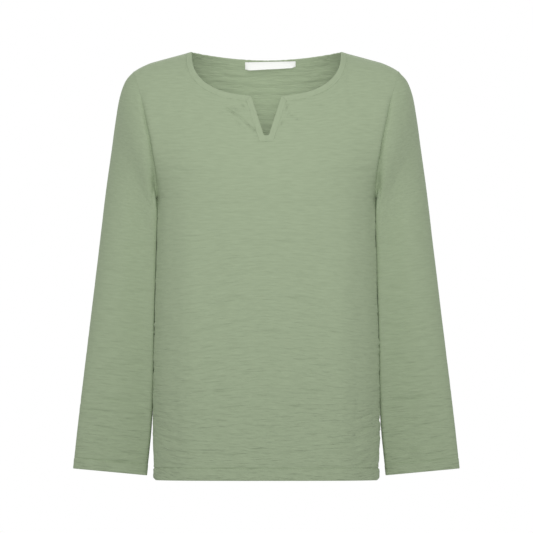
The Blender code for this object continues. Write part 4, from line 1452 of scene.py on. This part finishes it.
def binding_sections():
    """Points and normals of the half strip: slit, front neckline and back neckline, section by section."""
    share, height = section(BINDING)
    free, sewn = (slit_and_neck(s)[:, None] for s in (0.0, 1.0))
    front = free + (sewn - free) * share[None, :, None]
    free, sewn = (np.stack(neck_edge("back", BINDING * s, BACK_POINTS), axis=1)[:, None] for s in (0.0, 1.0))
    back = (free + (sewn - free) * share[None, :, None])[-2::-1]
    halves = (("front", front), ("back", back))
    skin = np.concatenate([on_body(part, *np.moveaxis(places, -1, 0)) for part, places in halves])
    along = np.gradient(skin[:, SECTION_TOP // 2], axis=0)
    normals = unit(np.cross(along, skin[:, 0] - skin[:, SECTION_TOP - 1]))
    normals *= -np.sign(normals[FOOT_POINTS, 1])
    for _ in range(NORMAL_PASSES):
        normals[1:-1] = unit(normals[:-2] + 2 * normals[1:-1] + normals[2:])
    run = np.concatenate([[0], np.cumsum(np.linalg.norm(along, axis=1)[1:])])
    wave = BINDING_WAVE * noise(run, 0 * run, WAVE_CELL, WAVE_SEED)
    wave[[0, -1]] = 0.0
    return skin + normals[:, None] * (height[None] - WALL / 2 + wave[:, None])[..., None], normals


strip, strip_normals = binding_sections()
print("binding strip:", strip.shape[:2], "sections and points")

# %% Binding pieces
def tube_faces(stations, around):
    """Quads round a tube, and the quads that close its two flat ends."""
    index = np.arange(stations * around).reshape(stations, around)
    sides = quads(np.concatenate([index, index[:, :1]], axis=1))
    k = np.arange(around // 2 - 1)
    cap = np.stack([k, k + 1, around - 2 - k, around - 1 - k], axis=1)
    return np.concatenate([sides, cap[:, ::-1], cap + index[-1, 0]])


def closed_outward(points, faces):
    """The faces, all reversed if the volume that they enclose comes out negative."""
    a, b, c, d = (points[faces[:, k]] for k in range(4))
    volume = (a * (np.cross(b, c) + np.cross(c, d))).sum()
    return faces if volume > 0 else faces[:, ::-1]


def tube_piece(name, sections, flat, material):
    """A closed tube of cloth from its sections."""
    points = sections.reshape(-1, 3)
    faces = closed_outward(points, tube_faces(*sections.shape[:2]))
    return mesh_from(name, points, faces, flat.reshape(-1, 2)[faces.ravel()], material)


def both_sides(half, middle_first):
    """A run of sections and its mirror image as one, joined where x is 0, at its start or its end."""
    other = half * (-1, 1, 1)
    return np.concatenate([other[:0:-1], half] if middle_first else [half, other[-2::-1]])


bindings = {
    "slit_binding": (slice(0, SLIT_POINTS + 1), True),
    "neck_binding": (slice(SLIT_POINTS, None), False),
}
across = section(BINDING)[0] * BINDING
binding_pieces = {}
for name, (stretch, middle_first) in bindings.items():
    sections = both_sides(strip[stretch], middle_first)
    run = length_along(sections[:, SECTION_TOP // 2], 0)
    flat = np.stack(np.broadcast_arrays(run[:, None], across[None]), axis=-1)
    binding_pieces[name] = tube_piece(name + "_cloth", sections, flat, binding_cotton)

# %% [markdown]
# ## Label
#
# The label is a strip of white woven tape, 80 mm long, sewn inside the back neck a little off centre
# and not quite level. Its lower edge stands off the cloth. It is left blank.

# %% Label
LABEL_WIDTH = 0.080
LABEL_DEPTHS = (0.0112, 0.0085)
LABEL_TOP = -0.0132
LABEL_OFF_CENTRE = 0.0064
LABEL_TILT = 0.018
LABEL_SURFACE = 0.0026
LABEL_LIFT = 0.0032
LABEL_END = 0.004
LABEL_WAVE = 0.0003
LABEL_WAVE_CELL = (0.018, 0.02)
LABEL_SEED = 61
LABEL_WALL = 0.0005
LABEL_COLUMNS = 120
LABEL_ROWS = 20
TAPE_WHITE = (0.93, 0.93, 0.92, 1.0)
RIB_CELL = (0.0004, 0.006)
RIB_HEIGHT = 0.00006


def label_grid():
    """The label's visible face: the back's skin moved inwards, more at its lower edge, with a slow wave."""
    u = np.linspace(0, 1, LABEL_COLUMNS + 1)[None, :]
    v = np.linspace(0, 1, LABEL_ROWS + 1)[:, None]
    depth = LABEL_DEPTHS[0] * (1 - u) + LABEL_DEPTHS[1] * u
    x = LABEL_OFF_CENTRE + LABEL_WIDTH * (u - 0.5) + 0 * v
    z = LABEL_TOP + LABEL_TILT * LABEL_WIDTH * (u - 0.5) - v * depth
    skin = on_body("back", x, z)
    normals = grid_normals(skin, (0, 1, 0))
    sewn_ends = bell(np.minimum(u, 1 - u) * LABEL_WIDTH, LABEL_END)
    wave = LABEL_WAVE * noise(x, z, LABEL_WAVE_CELL, LABEL_SEED) * v
    inwards = LABEL_SURFACE + LABEL_LIFT * v**2 * (1 - sewn_ends) + wave
    flat = np.stack([u * LABEL_WIDTH + 0 * v, -v * depth], axis=-1)
    return skin - normals * inwards[..., None], -normals, flat


def white_tape(name):
    """White satin tape: bright, a little glossy, with fine ribs across it."""
    material, tree, shader = new_material(name, roughness=0.55)
    shader.inputs["Base Color"].default_value = TAPE_WHITE
    vector = add_node(tree, "ShaderNodeTexCoord", {}).outputs["UV"]
    ribs = add_noise(tree, vector, RIB_CELL, detail=1.0)
    tree.links.new(add_bump(tree, ribs, RIB_HEIGHT, strength=0.6), shader.inputs["Normal"])
    return material


white = white_tape("white_tape")
label_points, label_normals, label_flat = label_grid()
index = np.arange(label_points[..., 0].size).reshape(label_points.shape[:2])
points, normals = label_points.reshape(-1, 3), label_normals.reshape(-1, 3)
faces = faces_outward(points, quads(index), normals)
label_tape = mesh_from("label_tape", points, faces, label_flat.reshape(-1, 2)[faces.ravel()], white)
add_wall(label_tape, LABEL_WALL)
print(f"label area {cloth_area(label_points) * 1e4:.1f} square centimetres")

# %% [markdown]
# ## Sewing
#
# Each stitch is a short length of thread that dips into the cloth at both ends. The stitches are 3 mm
# long, gap included. All stitches of a row are one mesh of simple six-sided capsules.

# %% Stitches
STITCH_PITCH = 0.0030
STITCH_HALF = 0.00125
THREAD_RADIUS = 0.00024
THREAD_SIDES = 6
THREAD_RINGS = np.array([(-1.0, 0.5), (-0.5, 1.0), (0.5, 1.0), (1.0, 0.5)])
THREAD_DIP = 0.0004


def at_pitch(line, normals):
    """Places, directions and normals at every pitch along a line of points."""
    run = length_along(line, 0)
    at = np.arange(STITCH_PITCH / 2, run[-1], STITCH_PITCH)

    def read(values, where):
        return np.stack([np.interp(where, run, values[:, k]) for k in range(3)], axis=1)

    along = unit(read(line, at + STITCH_HALF) - read(line, at - STITCH_HALF))
    return read(line, at), along, unit(read(normals, at))


def stitch_mesh(name, rows, material):
    """One mesh of all stitches along the rows, which are pairs of points and normals."""
    place, along, normal = (np.concatenate(parts) for parts in zip(*(at_pitch(*row) for row in rows)))
    turn = np.linspace(0, 2 * np.pi, THREAD_SIDES, endpoint=False)
    place, along, up, sideways = (v[:, None, None] for v in (place, along, normal, np.cross(normal, along)))
    shift, girth = (THREAD_RINGS[:, k][None, :, None, None] for k in (0, 1))
    cosine, sine = (f(turn)[None, None, :, None] for f in (np.cos, np.sin))
    round_it = THREAD_RADIUS * girth * (up * cosine + sideways * sine)
    points = place + along * shift * STITCH_HALF + round_it - up * THREAD_DIP * shift**2
    one = closed_outward(points[0].reshape(-1, 3), tube_faces(len(THREAD_RINGS), THREAD_SIDES))
    size = len(THREAD_RINGS) * THREAD_SIDES
    faces = (one[None] + size * np.arange(len(place))[:, None, None]).reshape(-1, 4)
    points = points.reshape(-1, 3)
    return mesh_from(name, points, faces, points[faces.ravel()][:, [0, 2]], material)


print(f"a stitch every {STITCH_PITCH * 1000:.0f} mm")

# %% [markdown]
# The rows of stitches follow the pieces: a millimetre below the hems' stitch lines, on the lower side
# of the groove that is modelled there, along the bindings where their section is sunk, and down the
# label's two ends. The hems' thread is lighter than the cloth: a painted highlight for the light that
# the turned hems catch below their grooves.

# %% Rows of stitches
STITCHES_BELOW = 0.0010
THREAD_GREEN = (0.355, 0.429, 0.284, 1.0)
# Real thread, coloured lighter than the cloth as a painted highlight of the lit hem band
HEM_THREAD_HIGHLIGHT_GREEN = (0.46, 0.54, 0.38, 1.0)
THREAD_WHITE = (0.8, 0.8, 0.79, 1.0)


def plain_material(name, colour, roughness):
    """A material of one colour."""
    material, _, shader = new_material(name, roughness)
    shader.inputs["Base Color"].default_value = colour
    return material


def panel_hem_row(part, side):
    """The line of points at the hem's stitches on one half panel, and its normals."""
    base = panels[part]
    row = int(np.argmin(np.abs(base[:, 0, 2] - HEM_LINE - HEM_DEPTH + STITCHES_BELOW)))
    normals = grid_normals(base, (0, OUTWARD[part], 0))
    points = base[row] + normals[row] * panel_relief(part, base, side)[row][:, None]
    return points * (side, 1, 1), normals[row] * (side, 1, 1)


def cuff_row(side_name, side):
    """The closed line of points at the cuff's stitches, and its normals."""
    to_cuff = sleeve_flat()[1][:, 0]
    row = int(np.argmin(np.abs(to_cuff - CUFF_HEM_DEPTH + STITCHES_BELOW)))
    both = (sleeve_skins[side_name], sleeve_normals)
    return tuple(np.concatenate([v[row], v[row, :1]]) * (side, 1, 1) for v in both)


def binding_row(name):
    """The line of points at a binding's stitches, and its normals."""
    stretch, middle_first = bindings[name]
    nearest = int(np.argmin(np.abs(section(BINDING)[0][:SECTION_TOP] - STITCH_SHARE)))
    normals = both_sides(strip_normals[stretch][:, None], middle_first)[:, 0]
    return both_sides(strip[stretch], middle_first)[:, nearest], normals


sewing_thread = plain_material("sewing_thread", THREAD_GREEN, roughness=0.7)
# Hem thread whose lighter colour is a painted highlight
hem_thread_painted_highlight = plain_material("hem_thread_painted_highlight", HEM_THREAD_HIGHLIGHT_GREEN, roughness=0.6)
white_thread = plain_material("white_thread", THREAD_WHITE, roughness=0.6)
label_ends = [(label_points[3:-3, k], label_normals[3:-3, k]) for k in (2, LABEL_COLUMNS - 2)]
stitch_rows = {
    "front_stitches": ([panel_hem_row("front", side) for side in (1, -1)], hem_thread_painted_highlight),
    "back_stitches": ([panel_hem_row("back", side) for side in (1, -1)], hem_thread_painted_highlight),
    "sleeve_left_stitches": ([cuff_row("sleeve_left", 1)], hem_thread_painted_highlight),
    "sleeve_right_stitches": ([cuff_row("sleeve_right", -1)], hem_thread_painted_highlight),
    "neck_stitches": ([binding_row("neck_binding")], sewing_thread),
    "slit_stitches": ([binding_row("slit_binding")], sewing_thread),
    "label_stitches": (label_ends, white_thread),
}
stitching = {name: stitch_mesh(name, rows, thread) for name, (rows, thread) in stitch_rows.items()}
print("stitch meshes:", len(stitching))

# %% [markdown]
# ## Floor
#
# A pale floor far below, out of the picture's frame, catches the light as a studio floor does.

# %% Floor
FLOOR_HEIGHT = -1.25
FLOOR_HALF = 10.0
PALE_GREY = (0.8, 0.8, 0.8, 1.0)

floor_mesh = bpy.data.meshes.new("floor")
corners = [(x * FLOOR_HALF, y * FLOOR_HALF, FLOOR_HEIGHT) for x, y in ((-1, -1), (1, -1), (1, 1), (-1, 1))]
floor_mesh.from_pydata(corners, [], [(0, 1, 2, 3)])
floor_mesh.materials.append(plain_material("pale_floor", PALE_GREY, roughness=0.9))
floor = bpy.data.objects.new("floor", floor_mesh)
bpy.context.scene.collection.objects.link(floor)
print("floor at", FLOOR_HEIGHT, "m")

# %% [markdown]
# ## Tying the cloth to the solids
#
# Each piece rides on the garment's one body and takes the place of its solid.

# %% Pieces
pieces_of = {
    "front": (front_cloth, "front_stitches"),
    "back": (back_cloth, "back_stitches"),
    "sleeve_left": (sleeve_left_cloth, "sleeve_left_stitches"),
    "sleeve_right": (sleeve_right_cloth, "sleeve_right_stitches"),
    "neck_binding": (binding_pieces["neck_binding"], "neck_stitches"),
    "slit_binding": (binding_pieces["slit_binding"], "slit_stitches"),
    "neck_label": (label_tape, "label_stitches"),
}
for node, (piece, stitches_name) in pieces_of.items():
    stitches = stitching[stitches_name]
    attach(piece, "root")
    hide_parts(node)
    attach(stitches, "root")
